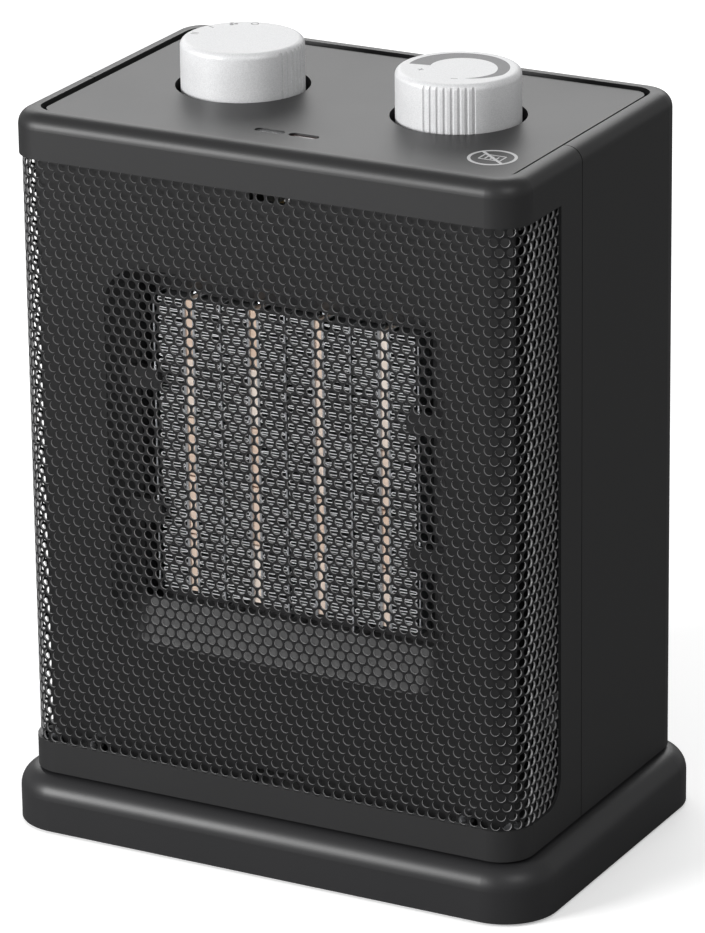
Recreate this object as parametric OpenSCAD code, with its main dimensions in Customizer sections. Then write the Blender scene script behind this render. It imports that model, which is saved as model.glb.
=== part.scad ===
// Ceramic space heater on a swivelling base: an upright ABS body with a wrap-round perforated
// front, a PTC heating block, an axial fan, two knobs on top and a motor that swings the body.
// Millimetres. +Z is up and the front faces -Y. The origin is on the floor, under the swivel axis.

/* [Body] */
// Width of the body
body_w = 178; // [160:1:214]
// Depth of the body
body_d = 117; // [110:1:141]
// Height of the body shells
body_h = 221; // [210:1:266]
// Radius of the four upright corners
body_r = 11; // [10:0.5:13]
// Radius of the round-over along the top edge
body_round = 5; // [3.5:0.5:5]
// Wall of the shells
wall = 2.2; // [1.8:0.1:2.7]
// Distance of the seam between the shells behind the front face
seam_back = 44.5; // [42:0.5:50]
// Width of the decorative groove at the seam
seam_groove = 0.4; // [0.2:0.1:0.6]

/* [Grille] */
// Height of the plain band below the grille
band_low = 10.3; // [9:0.1:12.5]
// Height of the plain band above the grille
band_high = 14.4; // [13:0.1:17.5]
// How far the grille runs back along each side
grille_back = 30.1; // [26:0.1:32]
// Thickness of the perforated sheet
sheet_t = 0.7; // [0.5:0.1:0.9]
// Thickness of the shell lip in front of the sheet's edge
lip_t = 1; // [0.8:0.1:1.2]
// How far the sheet tucks behind the lip
tuck = 3; // [2:0.5:3.5]

/* [Top panel] */
// Width of the inset panel
panel_w = 162; // [140:1:166]
// Depth of the inset panel
panel_d = 100; // [90:1:104]
// Corner radius of the panel
panel_r = 5; // [4:0.5:6]
// Thickness of the panel
panel_t = 2.4; // [2:0.1:3]
// Width of the groove round the panel
panel_gap = 1.8; // [1.2:0.1:2]
// How far the panel sits below the rim
panel_drop = 0.8; // [0.4:0.1:1]
// Width of the ledge that carries the panel
ledge = 5; // [4:0.5:6]

/* [Knobs] */
// Diameter of a knob
knob_d = 39.4; // [32:0.2:42]
// Height of a knob above the panel
knob_proud = 15.1; // [12:0.1:18.5]
// Distance of each knob from the middle
knob_x = 38.2; // [30:0.2:42]
// Distance of the knobs behind the middle
knob_y = 2.6; // [0:0.2:6]
// Width of the gap round a knob
knob_gap = 1.8; // [1.2:0.1:2.4]
// Depth of the well that a knob sits in
well_depth = 6; // [5:0.5:8]
// Number of grooves in a knob's grip
grip_grooves = 8; // [5:1:10]
// Diameter of a control shaft
stem_d = 6; // [5:0.5:6.5]

/* [Heating block] */
// Width of the heating block
ptc_w = 94; // [84:1:112]
// Height of the heating block
ptc_h = 98; // [90:1:117]
// Depth of the heating block
ptc_d = 22; // [18:1:26]
// Height of the block's centre above the floor
ptc_z = 133; // [128:1:150]
// Distance of the block behind the front face
ptc_back = 16.5; // [15:0.5:18]
// Number of heating columns
columns = 4; // [2:1:5]
// Thickness of a ceramic stone
stone_t = 2.6; // [2:0.1:3]
// Number of stones in a column
stones = 5; // [3:1:6]
// Thickness of an electrode strip
strip_t = 0.8; // [0.6:0.1:1]
// Thickness of a separator plate
plate_t = 0.8; // [0.6:0.1:1]
// Height of one wave of the fins
fin_pitch = 2.8; // [2.6:0.2:5.6]
// Thickness of the fin foil
foil_t = 0.3; // [0.2:0.1:0.4]

/* [Fan] */
// Diameter of the impeller
fan_d = 106; // [90:1:110]
// Number of blades
blades = 7; // [5:1:9]
// Depth of the impeller
fan_t = 16; // [12:1:18]
// Diameter of the motor shaft
shaft_d = 5; // [4:0.5:6]
// Side of the motor's core
core_s = 56; // [48:1:60]
// Depth of the motor's core
core_t = 13; // [10:1:14]

/* [Base] */
// Width of the base
base_w = 192; // [182:1:230]
// Depth of the base
base_d = 127; // [122:1:152]
// Height of the base shell
base_h = 18; // [17:0.5:21.5]
// Radius of the base's corners
base_r = 18; // [16:1:20]
// Radius of the round-over along the base's top edge
base_round = 7.5; // [6:0.5:8]
// Wall of the base shell
base_wall = 2.4; // [2:0.1:2.9]
// Height of the rubber feet
foot_h = 1; // [0.8:0.1:1.5]

/* [Swivel] */
// Radius of the turret that turns in the base
turret_r = 36; // [34:0.5:40]
// Gap between the base and the body
swivel_gap = 0.8; // [0.6:0.1:1.2]
// Distance of the swing motor from the swivel axis
crank_arm = 24; // [22:0.5:26]
// Throw of the crank
crank_r = 12; // [10:0.5:12]
// Diameter of the swing motor
swing_d = 34; // [30:1:40]

/* [Fits] */
// Radial running clearance of a shaft in its bore
run_fit = 0.05; // [0.02:0.01:0.08]
// Gap between parts that move past each other
move_gap = 0.4; // [0.3:0.05:0.6]

/* [Hidden] */
$fn = 48;

// Levels of the base and the body
base_z0 = foot_h;
base_z1 = base_z0 + base_h;
body_z0 = base_z1 + swivel_gap;
body_z1 = body_z0 + body_h;
grille_z0 = body_z0 + band_low;
grille_z1 = body_z1 - band_high;
front_y = -body_d / 2;
seam_y = front_y + seam_back;
grille_y = front_y + grille_back;
rear_in = body_d / 2 - wall;
floor_t = 2.2;
floor_z1 = body_z0 + floor_t;

// Levels of the top panel
panel_z1 = body_z1 - panel_drop;
panel_z0 = panel_z1 - panel_t;
ledge_t = 2.2;
ledge_z0 = panel_z0 - ledge_t;
well_floor = 2;
well_z = panel_z1 - well_depth;
well_z0 = well_z - well_floor;
well_r = knob_d / 2 + knob_gap;
stem_r = stem_d / 2;
knob_lift = 2;
knob_z0 = well_z + knob_lift;
knob_z1 = panel_z1 + knob_proud;
knob_round = 2;
grip_half = 23;
bracket_t = 1.2;
bracket_z1 = well_z0 - 10;
bracket_z0 = bracket_z1 - bracket_t;
bracket_w = 2 * knob_x + 60;
bracket_d = 40;
bracket_hole_x = knob_x + 25;
bracket_hole_y = 15;

// Heating block and its duct
ptc_y0 = front_y + ptc_back;
ptc_y1 = ptc_y0 + ptc_d;
frame_wall = 5;
frame_back = 7;
duct_wall = 2;
frame_w = ptc_w + 2 * frame_wall;
frame_h = ptc_h + 2 * frame_wall;
baffle_t = 2;
baffle_gap = 0.8;
baffle_side = 3.3;
baffle_ear = 8;
baffle_z0 = floor_z1 + 1;
baffle_z1 = ledge_z0 - 3;
notch_top = 14;
notch_low = 17;
notch_z1 = grille_z1 - 5.6;
notch_z0 = grille_z0 + 1.4;
baffle_boss = 6;
baffle_y = ptc_y0 - baffle_boss - baffle_t;
funnel_w = 13;
funnel_h = 14;
funnel_drop = 3;
throat_side = 5;
throat_end = 3.5;
lug_reach = 3;
lug_h = 7;
lug_t = 3;
lug_z = 22;
skin = 0.01;
edge_t = 1.4;
plate_tail = throat_end - 0.5;
plate_tail_d = frame_back - 2;
column_w = (ptc_w - 2 * edge_t - (columns - 1) * plate_t) / columns;
fin_w = (column_w - stone_t - 2 * strip_t) / 2;
waves = floor(ptc_h / fin_pitch);

// Fan
ring_r = fan_d / 2 + 4;
fan_gap = 16;
fan_y0 = ptc_y1 + fan_gap;
fan_y1 = fan_y0 + fan_t;
ring_y1 = fan_y1 + 6;
bracket_y0 = ring_y1;
plate_y1 = bracket_y0 + 2;
core_y0 = plate_y1 + 6;
core_y1 = core_y0 + core_t;
shaft_r = shaft_d / 2;
bush_r = shaft_r + 3;
bush_l = 6;
hub_r = 15;
rotor_r = 13;
rotor_gap = 0.5;

// Base and swivel
turret_z0 = base_z1 - base_wall - 0.3;
turret_ring_t = 2;
crank_t = 3;
crank_z1 = turret_z0 - turret_ring_t - 2.2;
crank_z0 = crank_z1 - crank_t;
plate_t_base = 2;
plate_z1 = base_z0 + plate_t_base;
pin_r = 1.5;
pin_slack = 2.4;
guide_half = pin_r + pin_slack + move_gap;
guide_h = 4.5;
pin_z0 = plate_z1 + 1.5;
swing_h = 14;
swing_shaft_r = 2.5;
wire_hole_r = 8;
swing_limit = 30;
feet_x = base_w / 2 - 22;
feet_y = base_d / 2 - 20;
tip_x = -base_w / 2 + 40;
tip_y = -base_d / 2 + 34;
tip_r = 4;
tip_travel = 3;
gland_x = 50;
gland_z = base_z0 + 8;
gland_r = 5;
gland_flange = 0.8;
cord_r = 3.5;

// Fasteners
screw_r = 1.45;
head_r = 2.8;
head_h = 1.8;
boss_r = 4;
tube_x = body_w / 2 - wall - 11.5;
tube_z = [body_z0 + 32, body_z1 - 42];
tube_end = 12;
rib_t = 2;
floor_x = body_w / 2 - 22;
floor_y = body_d / 2 - wall - 3.4;
baffle_x = body_w / 2 - wall - 3.8;
baffle_z = [baffle_z0 + 4.5, baffle_z1 - 4.5];
duct_x = frame_w / 2 + duct_wall + 7;
duct_z = 40;
base_boss = [base_w / 2 - 12, base_d / 2 - 12];

// Smaller sizes and places
base_pad = 2;
base_seat = 2.2;
base_screw_l = 10;
floor_pad = 1.5;
pad_r = 3.4;
floor_screw_l = 9;
floor_boss_h = 6;
turret_screw_r = turret_r - 4;
turret_screw_l = 7;
ear_t = 2;
guide_wall = 2.4;
guide_y0 = sqrt(crank_arm * crank_arm - crank_r * crank_r) - guide_half - 0.5;
guide_y1 = crank_arm + crank_r + guide_half + 0.5;
tip_leg = 10;
tip_top = plate_z1 + tip_travel + 2.2;
clamp_y = base_d / 2 - base_wall - 16;
groove_t = 0.8;
window_r = 9;
baffle_screw_l = 10;
funnel_r = 14;
return_x = duct_x + 8;
return_y = 8;
return_t = 2;
return_end = 8;
tab_y = (ptc_y0 + ptc_y1) / 2;
tab_h = 9;
cutout_r = 7.9;
ring_y0 = fan_y0 - 4;
safety_y = ring_y0 - duct_wall - cutout_r - 1;
post_x = 52;
arm_w = 9;
bolt_x = 21;
coil_drop = 16;
blade_t = 1.6;
blade_turn = 60;
tip_chord = 28;
lens_x = 6;
lens_y = -38.3;
lens_l = 10.3;
lens_w = 3.4;
lens_flange = 1.5;
lamp_r = 2.5;
lamp_drop = 8;
holder_x = 15;
bushing_r = 5;
control_h = 16;
stem_in = 12;
stem_top = knob_z0 + 9;
hub_out = stem_r + 2.6;
knob_wall = 2.2;
knob_top = 3;
groove_r = 0.7;
louvre_w = 38;
louvre_gap = 5;
louvre_h = 4;
louvre_pitch = 7.5;
louvre_rows = 15;
rocker_x = 50;
rocker_z = body_z1 - 31;
rocker_w = 14;
rocker_h = 21;
rocker_in = 14;
rocker_y = body_d / 2 - 1;
rocker_pin = 1.2;
rocker_tilt = 7;
rocker_mid = 3.6;
block_x = -52;
block_y = 8;
lead_x = body_w / 2 - 22;
lead_r = 1.2;
lead_drop = 10;
prong_l = 7;
block_d = 16;

// ---- shared shapes ----

// Rectangle with round corners, centred
module rrect(w, d, r) {
    square([w - 2 * r, d], center = true);
    square([w, d - 2 * r], center = true);
    for (x = [-1, 1], y = [-1, 1])
        translate([x * (w / 2 - r), y * (d / 2 - r)]) circle(r);
}

// Slab with round corners between two levels
module slab(w, d, r, z0, z1) {
    translate([0, 0, z0]) linear_extrude(z1 - z0) rrect(w, d, r);
}

// Outline of a wall seen from its end, with a rounded top edge
module end_profile(w, f, z0, z1) {
    translate([-w / 2, z0]) square([w, z1 - f - z0]);
    translate([-w / 2 + f, z0]) square([w - 2 * f, z1 - z0]);
    for (x = [-1, 1]) translate([x * (w / 2 - f), z1 - f]) circle(f);
}

// Quarter of a round corner, with the same rounded top edge
module corner_profile(r, f, z0, z1) {
    translate([0, z0]) square([r, z1 - f - z0]);
    translate([0, z0]) square([r - f, z1 - z0]);
    intersection() {
        translate([r - f, z1 - f]) circle(f);
        translate([0, z0]) square([r, z1 - z0]);
    }
}

// Block with round upright corners and a round-over along its top edge
module pillow(w, d, r, f, z0, z1) {
    translate([-(w / 2 - r), 0, 0]) rotate([90, 0, 90])
        linear_extrude(w - 2 * r) end_profile(d, f, z0, z1);
    translate([0, d / 2 - r, 0]) rotate([90, 0, 0])
        linear_extrude(d - 2 * r) end_profile(w, f, z0, z1);
    for (q = [0 : 3])
        translate([(q == 0 || q == 3 ? 1 : -1) * (w / 2 - r), (q < 2 ? 1 : -1) * (d / 2 - r), 0])
            rotate([0, 0, 90 * q]) rotate_extrude(angle = 90) corner_profile(r, f, z0, z1);
}

// Box given by its two corners
module span(a, b) {
    translate(a) cube(b - a);
}

// Rod or tube along Y
module rod_y(r, y0, y1, x = 0, z = 0) {
    translate([x, y1, z]) rotate([90, 0, 0]) cylinder(r = r, h = y1 - y0);
}

// Pan-head screw with its head's seat at z = 0 and its shank pointing down
module screw(len) {
    cylinder(r = head_r, h = head_h);
    translate([0, 0, -len]) cylinder(r = screw_r, h = len);
}

// Slot with round ends, on the XY plane
module slot2d(w, h) {
    square([w - h, h], center = true);
    for (x = [-1, 1]) translate([x * (w - h) / 2, 0]) circle(h / 2);
}

// Insulated wire swept along a list of points
module wire(points, r) {
    n = len(points);
    sides = 8;
    function along(i) = let (v = points[min(i + 1, n - 1)] - points[max(i - 1, 0)]) v / norm(v);
    function across(i) = let (v = cross(along(i), [1, 1, 1])) v / norm(v);
    rings = [for (i = [0 : n - 1], k = [0 : sides - 1])
        points[i] + r * (cos(360 * k / sides) * across(i) + sin(360 * k / sides) * cross(along(i), across(i)))];
    function at(i, k) = i * sides + k % sides;
    walls = [for (i = [0 : n - 2], k = [0 : sides - 1])
        each [[at(i, k), at(i + 1, k), at(i + 1, k + 1)], [at(i, k), at(i + 1, k + 1), at(i, k + 1)]]];
    start = [for (k = [0 : sides - 1]) k];
    end = [for (k = [sides - 1 : -1 : 0]) (n - 1) * sides + k];
    polyhedron(rings, concat([start], walls, [end]));
}

// ---- base ----

module base_shell() {
    color("#2b2b2d") difference() {
        union() {
            difference() {
                pillow(base_w, base_d, base_r, base_round, base_z0, base_z1);
                pillow(base_w - 2 * base_wall, base_d - 2 * base_wall, base_r - base_wall,
                       base_round - base_wall, base_z0 - 1, base_z1 - base_wall);
            }
            for (x = [-1, 1], y = [-1, 1])
                translate([x * base_boss[0], y * base_boss[1], plate_z1 + base_pad])
                    cylinder(r = boss_r - 0.6, h = base_z1 - 1 - plate_z1 - base_pad);
        }
        translate([0, 0, base_z1 - base_wall - 1]) cylinder(r = turret_r + run_fit, h = base_wall + 2);
        rod_y(gland_r, base_d / 2 - base_wall - 1, base_d / 2 + 1, gland_x, gland_z);
        for (x = [-1, 1], y = [-1, 1])
            translate([x * base_boss[0], y * base_boss[1], plate_z1])
                cylinder(r = screw_r, h = base_screw_l + 1);
        rod_y(gland_r + gland_flange, base_d / 2 - base_wall - 3, base_d / 2 - base_wall, gland_x, gland_z);
    }
}

module base_plate() {
    color("#262628") difference() {
        union() {
            slab(base_w - 2 * base_wall, base_d - 2 * base_wall, base_r - base_wall, base_z0, plate_z1);
            for (x = [-1, 1], y = [-1, 1])
                translate([x * base_boss[0], y * base_boss[1], base_z0])
                    cylinder(r = boss_r - 0.6, h = plate_t_base + base_pad);
        }
        for (x = [-1, 1], y = [-1, 1]) translate([x * base_boss[0], y * base_boss[1], base_z0 - 1]) {
            cylinder(r = head_r + 0.2, h = 1 + base_seat);
            cylinder(r = screw_r + 0.2, h = 10);
        }
        translate([tip_x, tip_y, base_z0 - 1]) cylinder(r = tip_r + run_fit, h = plate_t_base + 2);
    }
}

module rubber_feet() {
    color("#151515") for (x = [-1, 1], y = [-1, 1])
        translate([x * feet_x, y * feet_y, 0]) cylinder(r = 6.5, h = foot_h);
}

module base_screws() {
    color("silver") for (x = [-1, 1], y = [-1, 1])
        translate([x * base_boss[0], y * base_boss[1], base_z0 + base_seat])
            mirror([0, 0, 1]) screw(base_screw_l);
}

// Slotted block that the crank pin works in
module crank_guide() {
    color("#e6e6e0") difference() {
        span([-guide_half - guide_wall, guide_y0 - guide_wall, plate_z1],
             [guide_half + guide_wall, guide_y1 + guide_wall, plate_z1 + guide_h]);
        translate([0, (guide_y0 + guide_y1) / 2, plate_z1 - 1]) linear_extrude(guide_h + 2)
            rotate(90) slot2d(guide_y1 - guide_y0, 2 * guide_half);
    }
}

// Microswitch in its holder, over the tip-over plunger
module tip_switch() {
    color("#30303a") translate([tip_x, tip_y, 0]) {
        span([-tip_leg, -5, tip_top + 1], [tip_leg, 5, base_z1 - base_wall]);
        for (x = [-1, 1]) span([x * (tip_leg - 1) - 1, -5, plate_z1], [x * (tip_leg - 1) + 1, 5, tip_top + 1]);
        span([-tip_leg + 1, -1.6, tip_top + 0.4], [4, 1.6, tip_top + 1]);
    }
}

module tip_plunger() {
    color("#dcdcd2") translate([tip_x, tip_y, 0]) {
        cylinder(r = tip_r, h = plate_z1 + tip_travel);
        translate([0, 0, plate_z1 + tip_travel]) cylinder(r = tip_r + 2, h = 1);
        translate([0, 0, plate_z1 + tip_travel + 1]) cylinder(r = 1.5, h = tip_top - plate_z1 - tip_travel - 1);
    }
}

// Bushing for the mains lead in the rear wall of the base
module cord_gland() {
    color("#1b1b1c") difference() {
        union() {
            rod_y(gland_r, base_d / 2 - base_wall - 2, base_d / 2 - 0.3, gland_x, gland_z);
            rod_y(gland_r + gland_flange, base_d / 2 - base_wall - 2, base_d / 2 - base_wall, gland_x, gland_z);
        }
        rod_y(cord_r, base_d / 2 - base_wall - 3, base_d / 2 + 1, gland_x, gland_z);
    }
}

module cord_clamp() {
    color("#e6e6e0") difference() {
        span([gland_x - 9, clamp_y, plate_z1], [gland_x + 9, clamp_y + 7, gland_z + cord_r + 1.6]);
        rod_y(cord_r, clamp_y - 1, clamp_y + 8, gland_x, gland_z);
    }
}

module swivel_washer() {
    color("#f0f0ea") difference() {
        translate([0, 0, base_z1]) cylinder(r = turret_r + 9, h = swivel_gap - 0.1);
        translate([0, 0, base_z1 - 1]) cylinder(r = turret_r + 2, h = 4);
    }
}

// ---- swivel drive ----

// Floor of the body, with the turret that turns in the base
module body_floor() {
    color("#2b2b2d") difference() {
        union() {
            slab(body_w - 2 * wall, body_d - 2 * wall, body_r - wall, body_z0, floor_z1);
            translate([0, 0, turret_z0]) cylinder(r = turret_r, h = body_z0 - turret_z0 + 1);
            for (x = [-1, 1], y = [-1, 1])
                translate([x * floor_x, y * floor_y, body_z0]) cylinder(r = pad_r, h = floor_t + floor_pad);
        }
        translate([0, 0, turret_z0 - 1]) cylinder(r = wire_hole_r, h = 12);
        translate([0, crank_arm, turret_z0 - 1]) cylinder(r = swing_shaft_r + 1, h = 12);
        for (q = [0 : 2]) rotate(30 + 120 * q)
            translate([turret_screw_r, 0, turret_z0 - 1]) cylinder(r = screw_r, h = turret_screw_l - 1);
        for (x = [-1, 1], y = [-1, 1]) translate([x * floor_x, y * floor_y, body_z0 - 1]) {
            cylinder(r = head_r + 0.2, h = 1 + base_seat);
            cylinder(r = screw_r + 0.2, h = 10);
        }
    }
}

// Retaining ring under the base's top
module turret_ring() {
    color("#c9c9c4") difference() {
        translate([0, 0, turret_z0 - turret_ring_t]) cylinder(r = turret_r + 5, h = turret_ring_t);
        translate([0, 0, turret_z0 - turret_ring_t - 1]) cylinder(r = turret_r - 8, h = 5);
        for (q = [0 : 2]) rotate(30 + 120 * q)
            translate([turret_screw_r, 0, turret_z0 - turret_ring_t - 1]) cylinder(r = screw_r, h = 5);
    }
}

module turret_screws() {
    color("silver") for (q = [0 : 2]) rotate(30 + 120 * q)
        translate([turret_screw_r, 0, turret_z0 - turret_ring_t]) mirror([0, 0, 1]) screw(turret_screw_l);
}

module floor_screws() {
    color("silver") for (x = [-1, 1], y = [-1, 1])
        translate([x * floor_x, y * floor_y, body_z0 + base_seat]) mirror([0, 0, 1]) screw(floor_screw_l);
}

// Synchronous gear motor that swings the body
module swing_motor() {
    color("#b9b9ba") difference() {
        union() {
            translate([0, crank_arm, floor_z1]) cylinder(r = swing_d / 2, h = swing_h);
            for (x = [-1, 1]) translate([0, crank_arm, 0])
                span([x * (swing_d / 2 + 3) - 6, -5, floor_z1], [x * (swing_d / 2 + 3) + 6, 5, floor_z1 + ear_t]);
        }
        translate([0, crank_arm, floor_z1 - 1]) cylinder(r = swing_shaft_r + run_fit, h = swing_h - 3);
        for (x = [-1, 1]) translate([x * (swing_d / 2 + 5), crank_arm, floor_z1 - 1])
            cylinder(r = screw_r, h = ear_t + 2);
    }
}

module swing_screws() {
    color("silver") for (x = [-1, 1])
        translate([x * (swing_d / 2 + 5), crank_arm, floor_z1 + ear_t]) screw(ear_t);
}

module swing_shaft() {
    color("#c9c9cc") translate([0, crank_arm, crank_z0])
        cylinder(r = swing_shaft_r, h = floor_z1 + swing_h - 5 - crank_z0);
}

module crank() {
    color("#e6e6e0") difference() {
        translate([0, crank_arm, crank_z0]) cylinder(r = crank_r + pin_r + 2, h = crank_t);
        translate([0, crank_arm, crank_z0 - 1]) cylinder(r = swing_shaft_r, h = crank_t + 2);
        translate([0, crank_arm + crank_r, crank_z0 - 1]) cylinder(r = pin_r, h = crank_t + 2);
    }
}

module crank_pin() {
    color("#c9c9cc") translate([0, crank_arm + crank_r, pin_z0]) cylinder(r = pin_r, h = crank_z1 - pin_z0);
}

// ---- body shells ----

// Both shells in one, before they are parted at the seam
module shell_pair() {
    difference() {
        pillow(body_w, body_d, body_r, body_round, body_z0, body_z1);
        pillow(body_w - 2 * wall, body_d - 2 * wall, body_r - wall, body_round - wall,
               body_z0 - 1, ledge_z0);
        slab(panel_w + 2 * panel_gap, panel_d + 2 * panel_gap, panel_r + panel_gap, panel_z0, body_z1 + 1);
        slab(panel_w - 2 * ledge, panel_d - 2 * ledge, panel_r - 2, ledge_z0 - 1, panel_z0 + 1);
        difference() {
            span([-body_w, seam_y - seam_groove / 2, 0], [body_w, seam_y + seam_groove / 2, body_z1 + 1]);
            pillow(body_w - 2 * groove_t, body_d - 2 * groove_t, body_r - groove_t, body_round - groove_t,
                   body_z0 - 2, body_z1 - groove_t);
        }
    }
}

// Side view of the grille window, with its lower rear corner rounded
module window_profile() {
    r = window_r;
    difference() {
        translate([front_y - 1, grille_z0]) square([grille_y - front_y + 1, grille_z1 - grille_z0]);
        translate([grille_y - r, grille_z0]) square(r);
    }
    intersection() {
        translate([grille_y - r, grille_z0 + r]) circle(r);
        translate([grille_y - r, grille_z0]) square(r);
    }
}

// Rib that ties a screw tube to the side wall
module tube_rib(side, z, y0, y1) {
    rib_w = body_w / 2 - wall / 2 - tube_x;
    span([side * (tube_x + rib_w / 2) - rib_w / 2, y0, z - rib_t / 2],
         [side * (tube_x + rib_w / 2) + rib_w / 2, y1, z + rib_t / 2]);
}

module front_shell() {
    color("#2b2b2d") difference() {
        union() {
            intersection() {
                shell_pair();
                span([-body_w, -body_d, 0], [body_w, seam_y, body_z1 + 1]);
            }
            for (x = [-1, 1], z = tube_z) {
                rod_y(boss_r, seam_y - tube_end, seam_y, x * tube_x, z);
                tube_rib(x, z, seam_y - tube_end + rib_t, seam_y);
            }
            for (x = [-1, 1], z = baffle_z)
                rod_y(boss_r, baffle_y + baffle_t, grille_y + tuck + 5, x * baffle_x, z);
            for (x = [-1, 1]) translate([x * floor_x, -floor_y, floor_z1 + floor_pad])
                cylinder(r = pad_r + 0.2, h = floor_boss_h);
        }
        rotate([90, 0, 90]) translate([0, 0, -body_w]) linear_extrude(2 * body_w) window_profile();
        intersection() {
            difference() {
                slab(body_w - 2 * lip_t, body_d - 2 * lip_t, body_r - lip_t,
                     grille_z0 - tuck, grille_z1 + tuck);
                slab(body_w - 2 * wall, body_d - 2 * wall, body_r - wall, body_z0, body_z1);
            }
            span([-body_w, -body_d, 0], [body_w, grille_y + tuck, body_z1]);
        }
        for (x = [-1, 1], z = tube_z)
            rod_y(screw_r, seam_y - tube_end + 2, seam_y + 1, x * tube_x, z);
        for (x = [-1, 1], z = baffle_z)
            rod_y(screw_r, baffle_y, baffle_y + baffle_t + baffle_screw_l, x * baffle_x, z);
        for (x = [-1, 1]) translate([x * floor_x, -floor_y, floor_z1])
            cylinder(r = screw_r, h = floor_screw_l - 1);
    }
}

// Perforated sheet that wraps round the front and both sides; its fine holes are left to the visual model
module grille() {
    color("#18181a") intersection() {
        difference() {
            slab(body_w - 2 * lip_t, body_d - 2 * lip_t, body_r - lip_t,
                 grille_z0 - tuck, grille_z1 + tuck);
            slab(body_w - 2 * lip_t - 2 * sheet_t, body_d - 2 * lip_t - 2 * sheet_t,
                 body_r - lip_t - sheet_t, grille_z0 - tuck - 1, grille_z1 + tuck + 1);
        }
        span([-body_w, -body_d, 0], [body_w, grille_y + tuck, body_z1]);
    }
}

module rear_shell() {
    color("#2b2b2d") difference() {
        union() {
            intersection() {
                shell_pair();
                span([-body_w, seam_y, 0], [body_w, body_d, body_z1 + 1]);
            }
            for (x = [-1, 1], z = tube_z) {
                rod_y(boss_r, seam_y, rear_in + 0.5, x * tube_x, z);
                tube_rib(x, z, seam_y, seam_y + tube_end);
            }
            for (x = [-1, 1]) translate([x * floor_x, floor_y, floor_z1 + floor_pad])
                cylinder(r = pad_r + 0.2, h = floor_boss_h);
        }
        for (x = [-1, 1], z = tube_z) {
            rod_y(screw_r + 0.2, seam_y - 1, body_d / 2, x * tube_x, z);
            rod_y(head_r + 0.2, seam_y + tube_end, body_d / 2 + 1, x * tube_x, z);
        }
        for (x = [-1, 1]) translate([x * floor_x, floor_y, floor_z1])
            cylinder(r = screw_r, h = floor_screw_l - 1);
        for (i = [0 : louvre_rows - 1], j = [-1 : 1])
            translate([j * (louvre_w + louvre_gap), rear_in - 1, ptc_z + (i - (louvre_rows - 1) / 2) * louvre_pitch])
                rotate([-90, 0, 0]) linear_extrude(wall + 2) slot2d(louvre_w, louvre_h);
        span([rocker_x - rocker_w / 2, rear_in - 1, rocker_z - rocker_h / 2],
             [rocker_x + rocker_w / 2, body_d / 2 + 1, rocker_z + rocker_h / 2]);
    }
}

module shell_screws() {
    color("silver") for (x = [-1, 1], z = tube_z)
        translate([x * tube_x, seam_y + tube_end, z]) rotate([-90, 0, 0]) screw(2 * tube_end - 3);
}

// ---- air path ----

// Slice of the funnel's mouth, in the plane of the baffle's front
module funnel_mouth(t, grow) {
    translate([0, baffle_y + skin, ptc_z - funnel_drop]) rotate([90, 0, 0]) linear_extrude(t)
        rrect(ptc_w + 2 * (funnel_w + grow), ptc_h + 2 * (funnel_h + grow), funnel_r + grow, $fn = 32);
}

// Funnel from its mouth down to the heating block, grown outwards by the thickness of its wall
module funnel(grow) {
    hull() {
        funnel_mouth(skin, grow);
        translate([0, ptc_y0, ptc_z]) rotate([90, 0, 0]) linear_extrude(skin)
            rrect(ptc_w + 2 * (throat_side + grow), ptc_h + 2 * (throat_end + grow), 2 + grow, $fn = 32);
    }
}

// Lug that holds one edge of the heating block from the front
module lug(side, z) {
    root_x = ptc_w / 2 + funnel_w;
    span([side > 0 ? ptc_w / 2 - lug_reach : -root_x, ptc_y0 - lug_t, z - lug_h / 2],
         [side > 0 ? root_x : -ptc_w / 2 + lug_reach, ptc_y0, z + lug_h / 2]);
}

module baffle() {
    color("#29292b") difference() {
        union() {
            span([-body_w / 2 + wall + baffle_side, baffle_y, baffle_z0],
                 [body_w / 2 - wall - baffle_side, baffle_y + baffle_t, baffle_z1]);
            for (z = [baffle_z0, baffle_z1 - baffle_ear])
                span([-body_w / 2 + wall + baffle_gap, baffle_y, z],
                     [body_w / 2 - wall - baffle_gap, baffle_y + baffle_t, z + baffle_ear]);
            funnel(baffle_t);
            for (x = [-1, 1], z = [-1, 1])
                rod_y(boss_r, baffle_y + baffle_t, ptc_y0, x * duct_x, ptc_z + z * duct_z);
            for (x = [-1, 1]) span([x * return_x - return_t / 2, baffle_y + 1, baffle_z[0] + return_end],
                                   [x * return_x + return_t / 2, return_y, baffle_z[1] - return_end]);
        }
        difference() {
            union() {
                funnel(0);
                funnel_mouth(1, 0);
            }
            for (side = [-1, 1], z = [-1, 1]) lug(side, ptc_z + z * lug_z);
        }
        for (x = [-1, 1], z = [-1, 1])
            rod_y(screw_r, baffle_y + baffle_t, ptc_y0 + 1, x * duct_x, ptc_z + z * duct_z);
        for (x = [-1, 1], z = baffle_z)
            rod_y(screw_r + 0.2, baffle_y - 1, baffle_y + baffle_t + 1, x * baffle_x, z);
        for (x = [-1, 1]) translate([x * floor_x, -floor_y, floor_z1])
            cylinder(r = pad_r + 1, h = floor_pad + floor_boss_h + 1);
        span([-notch_top / 2, baffle_y - 1, notch_z1], [notch_top / 2, baffle_y + baffle_t + 1, baffle_z1 + 1]);
        span([-notch_low / 2, baffle_y - 1, baffle_z0 - 1], [notch_low / 2, baffle_y + baffle_t + 1, notch_z0]);
    }
}

module baffle_screws() {
    color("#3a3a3c") for (x = [-1, 1], z = baffle_z)
        translate([x * baffle_x, baffle_y, z]) rotate([90, 0, 0]) screw(baffle_screw_l);
}

// Openings for the terminal tabs, over each column
module tab_slots() {
    for (i = [0 : columns - 1])
        span([column_x(i) - stone_t / 2 - strip_t - 0.6, tab_y - 4, ptc_z + ptc_h / 2 - 0.5],
             [column_x(i) - stone_t / 2 + 0.6, tab_y + 4, ptc_z + frame_h / 2 + duct_wall + 1]);
}

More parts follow.
